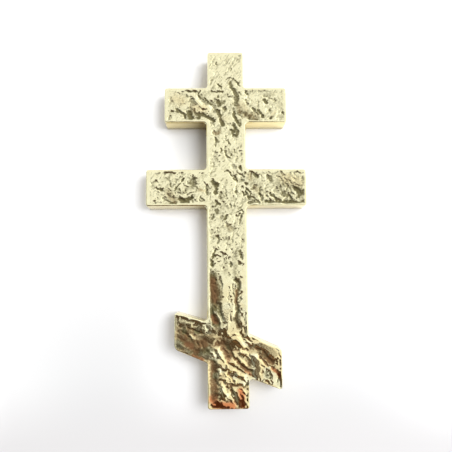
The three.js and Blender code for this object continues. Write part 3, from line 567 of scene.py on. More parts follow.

# %% Warm patches, painted reflection where strong at the foot
# Warm patches: the strong ones at the foot are painted reflection of a warm, dark room beyond the foot
WARM_PATCHES = [
    (5, .25, 9.1, 168, 11.6, 165.3), (1.4, .28, 26.5, 162, 27.7, 163.2, 28.3, 164.4),
    (4, .25, -32.9, 117.5, -28.5, 113), (2.4, .22, -15.4, 118.9, -14.4, 118.9),
    (7, .28, 33, 126, 40, 123), (3, .25, 13, 127, 13.6, 125), (3, .25, 16, 120, 17, 118),
    (6, .3, -28.5, 171.5, -25, 170.6), (5, .33, -17.5, 166.4, -12.6, 166), (5, .19, -1.5, 160, 1, 159.6),
    (3, .6, -8, 48, -7, 46.6, -6.6, 45.8), (1.6, .39, -24.8, 170.7, -24.4, 169.6),
    (2.6, .28, 7.6, 167.5, 8, 165, 8.4, 164), (5, .25, 11, 162, 14, 161.6, 17, 161),
    (2.4, .33, -31.5, 114.5, -30, 113.6, -29.4, 112.6), (1.6, .39, -14.9, 119, -14, 118.4, -13, 118.2),
    (1.8, .33, -6.6, 152, -5.4, 151.4, -4.4, 151.6, -3.8, 152.6),
    (2.2, .22, .6, 98.6, 1.6, 97.6, 2.4, 96.8, 1.4, 96), (5, .5, -8.4, 68, -7.6, 63, -7, 58),
    (2, .45, 4.7, 63, 4.7, 56), (4, .7, -22, 34, -20, 33),
    (2, .9, -18.8, 27.8, -17, 27, -15, 26.4, -13.6, 25.6),
    (3, .7, -3.4, 31.6, -2, 30.8, -1, 29, 0, 27, 0, 24.6), (1.8, .8, 9.2, 19.6, 10.8, 18.8, 12.2, 17.6),
    (2, .9, 23.6, 21, 25.4, 19.6, 26.6, 18.4, 27.4, 17), (5.4, 1, -8.6, 5.4, -6.4, 2.4, -3, 1.8, 2, 1.6),
    (1.4, .8, -3.4, 4.8), (3, .8, 0, 1.4, 3, 1.2), (4, 1, 6.2, 9.6, 7.4, 5, 7.2, 2),
    (1.4, .28, 31.4, 128.6, 32, 127.8, 32.6, 126.8), (2, .5, 1, 6.4, 1.2, 5), (2, .4, 3, 2.6, 4, 1.6),
    (2, .4, -2, 2.6), (5, .35, -22, 36, -14, 33), (3, .5, 10.8, 26, 11, 22),
]
print(f"warm patches: {len(WARM_PATCHES)}")

# %% Broad tarnish
TARNISH = [
    (5, .8, 8.6, 164.2, 12.5, 162.4, 17, 160.6), (4, .4, 9.1, 168, 11.6, 165.3),
    (1.8, .6, 14.1, 176.3, 19.3, 176.9, 25.7, 176), (2.4, .6, 30.7, 169.1, 32.4, 167.9),
    (8, .32, 31.6, 160.8, 31.9, 170.3), (4, .5, -32.9, 117.5, -28.5, 113),
    (3, .45, -27.3, 118.7, -23.6, 117.4, -21.7, 119.3), (2.4, .6, -15.4, 118.9, -14.4, 118.9),
    (10, .5, 30, 124, 42, 122), (8, .5, 14, 126, 18, 117), (2.2, .7, .8, 98.4, 1.8, 97.2),
    (4, .5, 4.6, 84, 4.4, 70), (3.4, .4, -1, 79, -1, 70),
    (7, 1.3, -9.4, 69.4, -7.6, 64, -7, 54, -6.6, 46), (1.6, .5, 4.6, 66, 4.4, 54), (1.6, .6, 6, 54, 6, 44),
    (4, .7, -7.6, 24, -7.6, 6), (15, 1, -24, 37, -14, 32), (8, .8, -16, 30, -12, 30),
    (6, .7, -14, 36, -14, 30), (5, .7, -6, 36, 0, 34), (5, .5, 42, 115, 36, 113), (5, .5, 6, 30, 10, 24),
    (4, .4, -19, 123, -18, 118), (3.4, .5, -20, 163, -19, 170), (5, .3, 21, 24, 26, 18),
    (6, .35, 30, 114, 36, 126), (4, .5, -3, 18, -2, 14), (4, .6, 12.6, 34, 12.6, 30),
    (3, .6, 12.7, 32.4, 16.9, 29.6, 21, 25.7, 25, 21), (10, .35, -29.5, 172, -29, 165),
    (3, .7, -22.6, 161, -20, 158), (2.4, .4, -16, 168, -14, 163),
]
print(f"tarnished areas: {len(TARNISH)}")

# %% The shape of a mark
LEAN_TOWARDS = np.array([0.45, 0.89])
BELL_STEEPNESS = 1.4
BELL_MARGIN = 1.8
THIN_REACH = 0.58
WIDE_EXTRA = 0.22


def mark_bell(x, y, mark, spread=1.0, lean=0.0):
    """A bell round a mark's line: e to the power of minus 1.4 times the square of distance over reach.

    The reach is the width times the spread times 0.58 for a thin mark, and up to 0.8 for a wide one.
    With a lean the line moves by that share of the width towards the foot, and the side away from
    the head becomes steeper: there the distance counts 1 plus twice the lean times as much.
    """
    width, _, *numbers = mark
    points = np.array(numbers, float).reshape(-1, 2) - lean * width * LEAN_TOWARDS
    bell = np.zeros(len(x))
    margin = width * BELL_MARGIN
    low, high = points.min(0) - margin, points.max(0) + margin
    near = np.flatnonzero((x > low[0]) & (x < high[0]) & (y > low[1]) & (y < high[1]))
    place = np.stack([x[near], y[near]], 1)
    distance = np.linalg.norm(place - points[0], axis=1)
    nearest = np.repeat(points[:1], len(near), axis=0)
    for start, end in zip(points[:-1], points[1:]):
        step = end - start
        share = np.clip((place - start) @ step / (step @ step), 0, 1)
        on_line = start + share[:, None] * step
        away = np.linalg.norm(place - on_line, axis=1)
        nearest = np.where((away < distance)[:, None], on_line, nearest)
        distance = np.minimum(distance, away)
    behind = smooth_step(0, 0.3 * width, (nearest - place) @ LEAN_TOWARDS)
    distance = distance * (1 + 2 * lean * behind)
    reach = width * (THIN_REACH + WIDE_EXTRA * smooth_step(0.9, 1.5, width))
    reach = reach * np.broadcast_to(spread, len(x))[near]
    bell[near] = np.exp(-(distance / reach) ** 2 * BELL_STEEPNESS)
    return bell


print(f"bell on a mark's own line: {mark_bell(np.zeros(1), np.zeros(1), (1, 1, 0, 0))[0]:.0f}")

# %% [markdown]
# ## The face
#
# The face is a height for every place. Inside the rim it drops a little and follows the lumps and
# the marks; on the rim it stays level. To know where the rim is, every place needs its distance from
# the nearest edge. Sculpting by brush would be quicker to look at, but a height that is worked out
# can't rise above the rim by accident, and so the casting stays inside the box of its solid.

# %% Distance from the edges
EDGE_ROUNDING = 0.85
FAR = 1e9


def edge_distance(x, y, rims):
    """The distance to the nearest edge of the outline, after each edge's own rim is taken off it."""
    nearest = np.full(len(x), FAR)
    for index in range(len(corners)):
        start = corners[index, :2]
        step = corners[(index + 1) % len(corners), :2] - start
        share = np.clip(((x - start[0]) * step[0] + (y - start[1]) * step[1]) / (step @ step), 0, 1)
        away = np.hypot(x - start[0] - share * step[0], y - start[1] - share * step[1])
        nearest = np.minimum(nearest, away - rims[index])
    return nearest


def inside_outline(x, y):
    """Counts how often a line to the right crosses the outline: an odd count is inside.

    The tiny number keeps the level edges, which never count, from dividing by zero.
    """
    inside = np.zeros(len(x), bool)
    for index in range(len(corners)):
        x0, y0 = corners[index, :2]
        x1, y1 = corners[(index + 1) % len(corners), :2]
        spans = (y0 > y) != (y1 > y)
        inside ^= spans & (x < (x1 - x0) * (y - y0) / (y1 - y0 + 1e-12) + x0)
    return inside


def corner_distance(x, y):
    """Near an outer corner, the arc's radius less the distance from its centre; far away elsewhere."""
    nearest = np.full(len(x), FAR)
    for index in np.flatnonzero(ARC_SIDE > 0):
        place = np.stack([x, y], 1) - ARC_CENTRE[index]
        away = np.linalg.norm(place, axis=1)
        beyond = (place @ ARC_START[index] > 0) & (place @ ARC_END[index] > 0)
        beyond &= away < 2 * ARC_RADIUS[index]
        nearest = np.where(beyond, np.minimum(nearest, ARC_RADIUS[index] - away), nearest)
    return nearest


middle_depth = edge_distance(np.zeros(1), np.full(1, MIDDLE_BAR["y"]), corners[:, 3])[0]
print(f"middle of the long bar: {middle_depth:.1f} mm inside the rim")

# %% [markdown]
# ### Texture of the metal
#
# The wax or sand left three sizes of lumps in the face, with specks, fine scratches and thin creases
# between them. The head, the stem, the stem's streaked lower part and the footrest have lumps of
# their own, and one fades into the next. A crease is the line where a field of noise passes its
# middle value, which gives long thin valleys that wander as folded foil does.

# %% Lumps, specks, scratches and creases
LUMP_LEVEL = 0.35
SPECK_SIZE = 0.95
SCRATCH_SHAPE = (56, 3.6, 0.62)
CREASE_SHARPNESS = 5
BEND_SIZE, BEND_REACH = 3.1, 1.6


def bent(x, y, size, reach, seed):
    """The same places, each moved by smooth noise of that size, by half the reach at most."""
    moved_x = x + reach * (smooth_noise(x / size, y / size, seed) - 0.5)
    moved_y = y + reach * (smooth_noise(x / size, y / size, seed + 1) - 0.5)
    return moved_x, moved_y


def creases(x, y, direction, length, width, seed):
    """Thin lines where noise passes one half: 1 less twice the distance from one half, to a power."""
    places = bent(x, y, BEND_SIZE, BEND_REACH, seed + 50)
    level = lumps(*places, direction, length, width, seed)
    return (1 - np.abs(2 * level - 1)) ** CREASE_SHARPNESS


def zones(y):
    """How much of a height is head, stem, streaked lower stem and footrest: four shares that sum to 1."""
    head = smooth_step(UPPER_BAR["y"] + 2, UPPER_BAR["y"] + 14, y)
    foot = 1 - smooth_step(FOOTREST["y"] + 6, FOOTREST["y"] + 16, y)
    low = (1 - smooth_step(58, 88, y)) * (1 - foot)
    return head, 1 - head - low - foot, low, foot


# Direction, length, width and depth of the coarse, middle and fine lumps in each zone
ZONE_LUMPS = [
    [(50, 5.5, 3, .34), (55, 3.4, 1.2, .2), (58, 2.4, .7, .23)],
    [(70, 6, 3.2, .46), (60, 2.8, 1.4, .3), (40, 1.3, .8, .16)],
    [(86, 15, 3.4, .60), (84, 6, 1.6, .30), (80, 2.4, .8, .14)],
    [(-32, 9, 4, .95), (-38, 4, 1.9, .28), (-30, 2, 1, .06)],
]
# Direction, length, width and strength of the creases in each zone
CREASE_SHAPES = [(58, 4.4, 1.0, .85), (40, 3.2, 2.1, 1), (86, 9, 1.9, .7), (-36, 6, 2.6, .6)]


def zone_lumps(x, y, shares, layer):
    """A layer's lumps from 0 to 1 and the drop they give: each zone has its own, blended by the shares."""
    shapes = [zone[layer] for zone in ZONE_LUMPS]
    values = [lumps(x, y, *shape[:3], 10 * layer + index) for index, shape in enumerate(shapes)]
    drops = [shape[3] * (value - LUMP_LEVEL) for shape, value in zip(shapes, values)]
    return (sum(share * value for share, value in zip(shares, values)),
            sum(share * drop for share, drop in zip(shares, drops)))


def fine_texture(x, y, shares):
    """Specks, scratches and creases: smooth steps of noise, times a strength for each zone."""
    upper = shares[0] + shares[1]
    speck = smooth_step(0.5, 1.0, smooth_noise(x / SPECK_SIZE, y / SPECK_SIZE, 33)) * (0.25 + 0.75 * upper)
    scratch = smooth_step(0.5, 0.85, lumps(x, y, *SCRATCH_SHAPE, 91)) * (0.55 * shares[0] + 0.3 * shares[1])
    crease = sum(share * shape[3] * creases(x, y, *shape[:3], 41 + index)
                 for index, (share, shape) in enumerate(zip(shares, CREASE_SHAPES)))
    groups = smooth_step(0.25, 0.7, smooth_noise(x / 4.6, y / 4.6, 47))
    gaps = smooth_step(0.2, 0.6, smooth_noise(x / 1.7, y / 1.7, 48))
    return speck, scratch, crease * groups * gaps


print(f"lumps: {len(ZONE_LUMPS)} zones with {len(ZONE_LUMPS[0])} layers each")

# %% [markdown]
# ### Height, dark skin and warmth together
#
# The same step that works out the height also works out how dark the metal has gone: in the deep
# places an old brown-green skin was left when the high places were polished. It works out how warm
# the colour is too, which grows towards the foot, where the strong warmth is painted reflection of a
# warm, dark room. One function gives all three; height and skin belong together on the real casting:
# a deep place is a dark one.

# %% The height of the face
FACE_DROP = 0.05
FOOT_DROP = 0.25
SPECK_DEPTH = 0.06
CREASE_DEPTH = 0.3
MARK_DEPTH = 0.75
FOLD_HEIGHT = 0.6
FOLD_LEAN = 0.35
FOLD_SHINE = 0.8
RAGGED_SIZE, RAGGED_REACH = 1.2, 0.9
RIM_WAVE = 0.9


def drawn_shapes(x, y, relief, patina, middle):
    """Adds the marks to the relief and takes the folds off it; both change the patina, and so does tarnish.

    Of the marks that meet at a place the deepest counts. A thin mark is cut less deep than a wide one.
    """
    places = bent(x, y, RAGGED_SIZE, RAGGED_REACH, 61)
    spread = 0.7 + 0.7 * smooth_noise(x / 0.9, y / 0.9, 63)
    depth = np.zeros(len(x))
    for mark in MARKS:
        bell = mark_bell(*places, mark, 1 + (spread - 1) * min(1.0, 1.1 / mark[0]))
        depth = np.maximum(depth, bell * mark[1] * min(1.0, 0.45 + 0.3 * mark[0]))
        patina = np.maximum(patina, np.clip(bell * 1.5, 0, 1) * mark[1])
    relief = relief + MARK_DEPTH * depth
    for area in TARNISH:
        patina = np.maximum(patina, area[1] * mark_bell(*places, area) * (0.55 + 0.6 * middle))
    for fold in FOLDS:
        bell = mark_bell(*places, fold, 1.0, FOLD_LEAN)
        relief = relief - FOLD_HEIGHT * fold[1] * bell
        patina = patina * (1 - FOLD_SHINE * bell)
    return relief, patina


def metal_warmth(x, y, shares):
    """The strongest warm patch at each place, or the brown clouds low on the stem and on the footrest.

    The clouds and the strong patches at the foot are painted reflection of a warm, dark room beyond it.
    """
    places = bent(x, y, RAGGED_SIZE, RAGGED_REACH, 61)
    warmth = np.zeros(len(x))
    for warm_patch in WARM_PATCHES:
        warmth = np.maximum(warmth, warm_patch[1] * mark_bell(*places, warm_patch))
    # Brown clouds low on the stem and on the footrest: painted reflection of the same warm, dark room
    brown = smooth_step(0.15, 0.6, smooth_noise(x / 3.4, y / 3.4, 72))
    return np.maximum(warmth, (0.45 * shares[3] + 0.25 * shares[2]) * brown)


def face_relief(x, y):
    """The face's drop below the rim in millimetres, and the patina and warmth there, each from 0 to 1.

    The drop adds up lumps, specks, scratches, creases and marks, and takes off the folds, all faded
    out over the rim. The patina is the strongest of what these say, and a fold wipes most of it off.
    """
    shares = zones(y)
    layers = [zone_lumps(x, y, shares, layer) for layer in range(3)]
    (coarse, coarse_drop), (middle, middle_drop), (fine, fine_drop) = layers
    speck, scratch, crease = fine_texture(x, y, shares)
    relief = coarse_drop + middle_drop + fine_drop + SPECK_DEPTH * (speck + scratch) + CREASE_DEPTH * crease
    patina = smooth_step(0.33, 0.85, 0.25 * coarse + 0.35 * middle + 0.4 * fine) \
        * (0.2 + 0.33 * (shares[0] + shares[1]) + 0.15 * shares[3])
    patina = np.maximum(patina, np.maximum(0.5 * crease, np.maximum(0.45 * speck, scratch)))
    relief, patina = drawn_shapes(x, y, relief, patina, middle)
    inwards = edge_distance(x, y, corners[:, 3]) + RIM_WAVE * (coarse - 0.5)
    rough, sunk = smooth_step(-0.4, 1.0, inwards), smooth_step(-0.7, 1.9, inwards)
    deepened = FACE_DROP + shares[3] * FOOT_DROP + relief
    return sunk * np.maximum(deepened, 0), rough * np.clip(patina, 0, 1), rough * metal_warmth(x, y, shares)


MARKS = (UPPER_LEFT + HEAD_MARKS + UPPER_RIGHT + MIDDLE_LEFT + CROSSING + MIDDLE_RIGHT + STEM_HIGH
         + STEM_MIDDLE + STEM_LOW + FOOTREST_LEFT + FOOTREST_MIDDLE + FOOTREST_RIGHT + FOOT_MARKS)
print(f"marks drawn by hand: {len(MARKS)}")

# %% [markdown]
# ## The casting as one closed mesh
#
# The rings make the sides: up from the back's eased edge, and over the rounded front edge. The face
# inside the last ring is filled with points on a honeycomb grid, close enough to carry the finest
# pits as real shape, and a triangulation joins them to the ring. The back is one flat sheet. A grid
# of squares with a displacement on it would be simpler, but it would leave steps along the slanted
# bar and an open seam at the edge.

# %% Build the cross
GRID_SPACING = 0.36
BACK_EASING = 0.3
ROUNDING_STEPS = 5
WALL_SHARES = (0.35, 0.65)
TOUCHING = 1e-6
# How much painted shade a wall gets just under the face: on the left, on the right, what the walls
# beside the stem add to the right, and on those of them that face left
PAINTED_SHADE_LEFT, PAINTED_SHADE_RIGHT, PAINTED_SHADE_BESIDE, PAINTED_SHADE_LEFTWARDS = 0.7, 0.2, 0.6, 0.55


def side_profile():
    """Inset and height of each ring: a quarter turn at the back, the plain side, a quarter turn in front."""
    turn = np.linspace(0, math.pi / 2, ROUNDING_STEPS + 1)
    back = [(BACK_EASING, 0.0), (0.0, BACK_EASING)]
    side = [(0.0, thickness * share) for share in WALL_SHARES]
    front = np.stack([EDGE_ROUNDING * (1 - np.cos(turn)), thickness - EDGE_ROUNDING * (1 - np.sin(turn))], 1)
    return np.array(back + side + front.tolist())


def face_grid():
    """Honeycomb points: rows of equal spacing, every second row moved by half of it, kept inside the edge."""
    reach = corners[:, 0].max()
    columns = np.arange(-reach, reach, GRID_SPACING)
    rows = np.arange(0, cross_length, GRID_SPACING * math.sqrt(3) / 2)
    x, y = np.meshgrid(columns, rows)
    x[1::2] += GRID_SPACING / 2
    x, y = x.ravel(), y.ravel()
    inset = np.minimum(edge_distance(x, y, np.zeros(len(corners))), corner_distance(x, y))
    kept = inside_outline(x, y) & (inset > EDGE_ROUNDING + 0.6 * GRID_SPACING)
    return x[kept], y[kept]


def filled(points, border):
    """Triangles of a constrained triangulation of flat points whose first ones are the border ring."""
    inside_only, merging = 1, 1e-7
    edges = [(index, (index + 1) % border) for index in range(border)]
    flat = [Vector(point) for point in points.tolist()]
    _, _, faces, origins, *_ = delaunay_2d_cdt(flat, edges, [], inside_only, merging)
    source = np.array([group[0] for group in origins])
    return source[np.array(faces)]


def side_and_painted_shade(outer, ring_z, layers):
    """0 on the front, 1 on the walls, and up to 2 where a wall is deepest in colour.

    That is painted shade, for the dark room that these walls mirror: just under the face, on walls
    that face the foot, more so on the left, and beside the stem also on those that face left. A wall's
    outward direction is the step from the point before to the point after, turned by a quarter: its
    part towards the foot is the step along x, and its part to the left is the step down y.
    """
    step = np.roll(outer, -1, axis=0) - np.roll(outer, 1, axis=0)
    step = step / np.linalg.norm(step, axis=1)[:, None]
    to_foot, to_left = np.maximum(step[:, 0], 0), np.maximum(-step[:, 1], 0)
    x, y = outer.T
    beside_stem = smooth_step(-21, -10, -np.abs(x)) * smooth_step(-186, -176, -y)
    painted_shade = to_foot * np.where(x < 0, PAINTED_SHADE_LEFT, PAINTED_SHADE_RIGHT + PAINTED_SHADE_BESIDE * beside_stem) \
        + PAINTED_SHADE_LEFTWARDS * to_left * beside_stem
    painted_shade = np.minimum(painted_shade, 1)
    wall_top = thickness - EDGE_ROUNDING
    on_wall = ring_z < wall_top + TOUCHING
    high = on_wall & (ring_z > wall_top - TOUCHING)
    return on_wall + high * np.tile(painted_shade, layers)


def build_cross():
    """Rings, face points and their triangles put together, turned into metres in the frame of the solid."""
    profile = side_profile()
    rings = [ring(inset) for inset, _ in profile]
    count = len(rings[0])
    ring_x = np.concatenate([each[:, 0] for each in rings])
    ring_y = np.concatenate([each[:, 1] for each in rings])
    ring_z = np.repeat(profile[:, 1], count)
    grid_x, grid_y = face_grid()
    x, y = np.concatenate([ring_x, grid_x]), np.concatenate([ring_y, grid_y])
    drop, patina, warmth = face_relief(x, y)
    top = np.concatenate([ring_z, np.full(len(grid_x), thickness)])
    on_front = top > thickness - EDGE_ROUNDING + TOUCHING
    z = np.where(on_front, np.minimum(top, thickness - drop), top)
    layers = len(rings)
    lower = np.arange((layers - 1) * count).reshape(layers - 1, count)
    after = np.roll(lower, -1, axis=1)
    sides = np.stack([lower, after, after + count, lower + count], -1).reshape(-1, 4)
    last = (layers - 1) * count
    face_points = np.concatenate([np.arange(last, last + count), np.arange(layers * count, len(x))])
    face = face_points[filled(np.stack([x, y], 1)[face_points], count)]
    back = filled(rings[0], count)[:, ::-1]
    points = np.stack([x, y - cross_length / 2, z], 1) * MM
    mesh = bpy.data.meshes.new("cast_cross")
    mesh.from_pydata(points.tolist(), [], sides.tolist() + face.tolist() + back.tolist())
    # 1 on the walls, and up to 2 where painted shade darkens a wall just under the face
    side = np.concatenate([side_and_painted_shade(rings[0], ring_z, layers), np.zeros(len(grid_x))])
    for name, values in (("patina", patina * on_front), ("warmth", warmth), ("side", side)):
        mesh.attributes.new(name, "FLOAT", "POINT").data.foreach_set("value", values.astype(np.float32))
    mesh.polygons.foreach_set("use_smooth", np.ones(len(mesh.polygons), bool))
    mesh.update()
    return mesh


cross_mesh = build_cross()
cross = bpy.data.objects.new("cast_cross", cross_mesh)
bpy.context.scene.collection.objects.link(cross)
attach(cross, "root")
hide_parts("cross_casting")
triangles = sum(len(face.vertices) - 2 for face in cross_mesh.polygons)
print(f"cross: {len(cross_mesh.vertices)} points, {triangles} triangles")

# %% [markdown]
# ## Polished brass and its dark skin
#
# Brass is a metal, so its colour is the colour of its reflections. The high places are polished and
# mirror the light, pale yellow. The deep places keep a brown-green skin, which is duller and rougher.
# The mesh says where that skin lies, and fine noise breaks its border, so it never looks painted on.
#
# The sides get a darker, more saturated brass than the face: painted shade, for the shaded paper that
# they mirror, and darker still just under the face. Towards the foot the metal is warmer, browner in
# its skin and copper-red in places: painted reflection of a warm, dark room beyond the foot.

# %% The brass material
POLISHED = (0.99, 0.955, 0.66)
CLOUDED = (0.8, 0.745, 0.46)
# Side colours are painted shade: darker brass for the shaded paper the walls mirror, darker still under the
# face
SIDE_BRASS_IN_SHADE = (0.86, 0.735, 0.38)
SIDE_IN_DEEP_SHADE = (0.42, 0.31, 0.11)
SKIN = (0.18, 0.16, 0.075)
# Warmth tints the metal golden, then copper, and browns the skin; strong at the foot, it is painted
# reflection
BROWN_SKIN = (0.24, 0.125, 0.058)
GOLDEN = (0.82, 0.7, 0.38)
COPPER = (0.66, 0.25, 0.1)
FINE_GRAIN, BROAD_GRAIN = 1100.0, 420.0
BUMP_HEIGHT = 0.0001


def add_node(tree, kind, **values):
    """Adds a shader node. A name that is one of its inputs sets or links that input, any other a property."""
    made = tree.nodes.new(kind)
    for name, value in values.items():
        title = name.replace("_", " ")
        if title not in made.inputs:
            setattr(made, name, value)
        elif isinstance(value, bpy.types.NodeSocket):
            tree.links.new(value, made.inputs[title])
        else:
            made.inputs[title].default_value = value
    return made


def blend_colour(tree, share, first, second):
    """A mix of two colours by a share from 0 to 1: each colour is a socket or three numbers."""
    mix = tree.nodes.new("ShaderNodeMix")
    mix.data_type = "RGBA"
    tree.links.new(share, mix.inputs[0])
    for socket, value in ((mix.inputs[6], first), (mix.inputs[7], second)):
        if isinstance(value, bpy.types.NodeSocket):
            tree.links.new(value, socket)
        else:
            socket.default_value = (*value, 1)
    return mix.outputs[2]


def math_node(tree, operation, first, second=0.5, third=0.5):
    """Arithmetic on two or three numbers or sockets."""
    made = tree.nodes.new("ShaderNodeMath")
    made.operation = operation
    for socket, value in zip(made.inputs, (first, second, third)):
        if isinstance(value, bpy.types.NodeSocket):
            tree.links.new(value, socket)
        else:
            socket.default_value = value
    return made.outputs[0]


def vector_node(tree, operation, first, second=(0, 0, 0)):
    """Arithmetic on a vector socket and three fixed numbers."""
    made = tree.nodes.new("ShaderNodeVectorMath")
    made.operation = operation
    tree.links.new(first, made.inputs[0])
    made.inputs[1].default_value = second
    return made


def smooth_range(tree, value, low, high):
    """A node that goes from 0 at low to 1 at high along an S-shaped curve, and is level beyond them."""
    node = add_node(tree, "ShaderNodeMapRange", Value=value)
    node.interpolation_type = "SMOOTHSTEP"
    node.inputs["From Min"].default_value = low
    node.inputs["From Max"].default_value = high
    return node.outputs[0]


def brass_material():
    """Brass whose colour and roughness follow the patina, warmth and side that the mesh carries.

    The side is painted shade on the walls, and the strong warmth at the foot is painted warm reflection.
    """
    material = bpy.data.materials.new("polished_brass")
    material.use_nodes = True
    tree = material.node_tree
    tree.nodes.clear()
    place = add_node(tree, "ShaderNodeTexCoord").outputs["Object"]
    fine = add_node(tree, "ShaderNodeTexNoise", Vector=place, Scale=FINE_GRAIN, Detail=3.0)
    broad = add_node(tree, "ShaderNodeTexNoise", Vector=place, Scale=BROAD_GRAIN, Detail=3.0)
    patina = add_node(tree, "ShaderNodeAttribute", attribute_name="patina").outputs["Fac"]
    warmth = add_node(tree, "ShaderNodeAttribute", attribute_name="warmth").outputs["Fac"]
    amount = math_node(tree, "MULTIPLY_ADD", patina, 1.0, 0.3)
    centred = math_node(tree, "SUBTRACT", fine.outputs[0], 0.5)
    broken = math_node(tree, "MULTIPLY_ADD", centred, amount, patina)
    skin = smooth_range(tree, broken, 0.1, 0.85)
    metal = blend_colour(tree, broad.outputs[0], POLISHED, CLOUDED)
    side = add_node(tree, "ShaderNodeAttribute", attribute_name="side").outputs["Fac"]
    # The walls get a darker brass, painted shade, and where side is over 1 a darker one still, more painted
    # shade
    metal = blend_colour(tree, smooth_range(tree, side, 0.0, 1.0), metal, SIDE_BRASS_IN_SHADE)
    metal = blend_colour(tree, smooth_range(tree, side, 1.0, 2.0), metal, SIDE_IN_DEEP_SHADE)
    # Warmth: golden, then copper-red, and a browner skin; at the foot this is painted warm reflection
    metal = blend_colour(tree, smooth_range(tree, warmth, 0.0, 0.55), metal, GOLDEN)
    metal = blend_colour(tree, smooth_range(tree, warmth, 0.4, 1.0), metal, COPPER)
    dull = blend_colour(tree, smooth_range(tree, warmth, 0.05, 0.65), SKIN, BROWN_SKIN)
    colour = blend_colour(tree, skin, metal, dull)
    rough = math_node(tree, "MULTIPLY_ADD", skin, 0.33, 0.1)
    grain = math_node(tree, "MULTIPLY_ADD", patina, 0.6, 0.15)
    bump = add_node(tree, "ShaderNodeBump", Strength=grain, Height=fine.outputs[0])
    bump.inputs["Distance"].default_value = BUMP_HEIGHT
    surface = add_node(tree, "ShaderNodeBsdfPrincipled", Metallic=1.0, Roughness=rough)
    tree.links.new(colour, surface.inputs["Base Color"])
    tree.links.new(bump.outputs[0], surface.inputs["Normal"])
    output = tree.nodes.new("ShaderNodeOutputMaterial")
    tree.links.new(surface.outputs[0], output.inputs[0])
    return material


cross_mesh.materials.append(brass_material())
print("brass material: patina, warmth and side come from the mesh")

# %% [markdown]
# ## A sheet of pale paper
#
# The cross lies on white paper. Towards the foot, and in soft areas round the lower part, the paper is
# painted a light grey, painted shade for the dimmer light there; one small grey area is a painted
# shadow left of the stem under the upper bar. The paper is part of the stage and not of the object.
# It is large, so that no edge of it shows from above, and it lies a fiftieth of a millimetre below
# the back, so that the two never share one plane.

# %% The paper
PAPER_REACH = 3.0
PAPER_GAP = 0.02 * MM
PAPER_WHITES = ((0.92, 0.93, 0.95), (0.96, 0.97, 0.99))
# Each area of painted shade: its middle, its reach across and along, the share of that reach where it is
# full, its colour
PAINTED_SHADE_AREAS = [
    # Painted shade where the light on the paper is dimmer, mostly towards the foot
    ((0.05, -0.07, 0), (0.15, 0.15), 0.0, (0.77, 0.775, 0.79)),
    ((-0.09, -0.08, 0), (0.065, 0.13), 0.45, (0.74, 0.745, 0.755)),
    ((-0.07, -0.125, 0), (0.065, 0.12), 0.0, (0.62, 0.625, 0.635)),
    ((0.06, -0.12, 0), (0.075, 0.08), 0.1, (0.625, 0.63, 0.64)),
    ((0, -0.15, 0), (0.4, 0.07), 0.4, (0.61, 0.605, 0.615)),
    # A painted shadow left of the stem, under the upper bar
    ((-0.012, 0.055, 0), (0.034, 0.045), 0.0, (0.52, 0.52, 0.52)),
]


def paper_sheet():
    """A flat square under the back of the casting, cloudy white, with six soft grey areas.

    The greyness of this painted shade is an S-shaped curve of the distance from an area's middle, divided by
    its reach.
    """
    mesh = bpy.data.meshes.new("paper")
    reach = PAPER_REACH
    square = [(-reach, -reach), (reach, -reach), (reach, reach), (-reach, reach)]
    mesh.from_pydata([(x, y, -PAPER_GAP) for x, y in square], [], [(0, 1, 2, 3)])
    material = bpy.data.materials.new("white_paper")
    material.use_nodes = True
    tree = material.node_tree
    surface = tree.nodes["Principled BSDF"]
    place = add_node(tree, "ShaderNodeTexCoord").outputs["Object"]
    cloud = add_node(tree, "ShaderNodeTexNoise", Vector=place, Scale=14.0, Detail=4.0)
    colour = blend_colour(tree, cloud.outputs[0], *PAPER_WHITES)
    for middle, (across, along), full, grey in PAINTED_SHADE_AREAS:
        offset = vector_node(tree, "SUBTRACT", place, middle).outputs["Vector"]
        shares = vector_node(tree, "DIVIDE", offset, (across, along, 1)).outputs["Vector"]
        distance = vector_node(tree, "LENGTH", shares).outputs["Value"]
        colour = blend_colour(tree, smooth_range(tree, distance, 1.0, full), colour, grey)
    tree.links.new(colour, surface.inputs["Base Color"])
    surface.inputs["Roughness"].default_value = 0.9
    surface.inputs["Specular IOR Level"].default_value = 0.1
    mesh.materials.append(material)
    sheet = bpy.data.objects.new("paper", mesh)
    bpy.context.scene.collection.objects.link(sheet)
    return sheet


paper_sheet()
print(f"paper: {2 * PAPER_REACH:.0f} m square")

# %% [markdown]
# ## Light
#
# A mirror shows the room, so the room is what this brass looks like. The room is pale, brightest at a
# window on the right and dim behind the left shoulder. Overhead, on the side of the foot, is a dark
# patch. A face that is level mirrors the pale part, and where the casting's wrinkles tip towards the
# foot they mirror the dark patch, which draws each fold with a sharp dark side. A panorama picture of
# a real room is the usual way, but a few soft steps by direction are enough here, because the wrinkles
# break up all that they mirror.
#
# Two soft lamps light the paper and aren't mirrored. The one at the window gives the shadow along the
# left edges, and the one at an open door beyond the foot fills the shadows.

# %% The room and the lamps
PALE_WALL = (1.04, 1.035, 1.03)
WINDOW_SIDE = (1.5, 1.48, 1.42)
LEFT_WALL = (0.22, 0.22, 0.21)
WARM_WALL = (0.2, 0.115, 0.07)
DARK_CEILING = (0.1, 0.066, 0.042)


def towards(tree, direction, axis, low, high):
    """A smooth step from 0 to 1 of how far a direction leans along an axis: their dot product."""
    lean = vector_node(tree, "DOT_PRODUCT", direction, Vector(axis).normalized())
    return smooth_range(tree, lean.outputs["Value"], low, high)


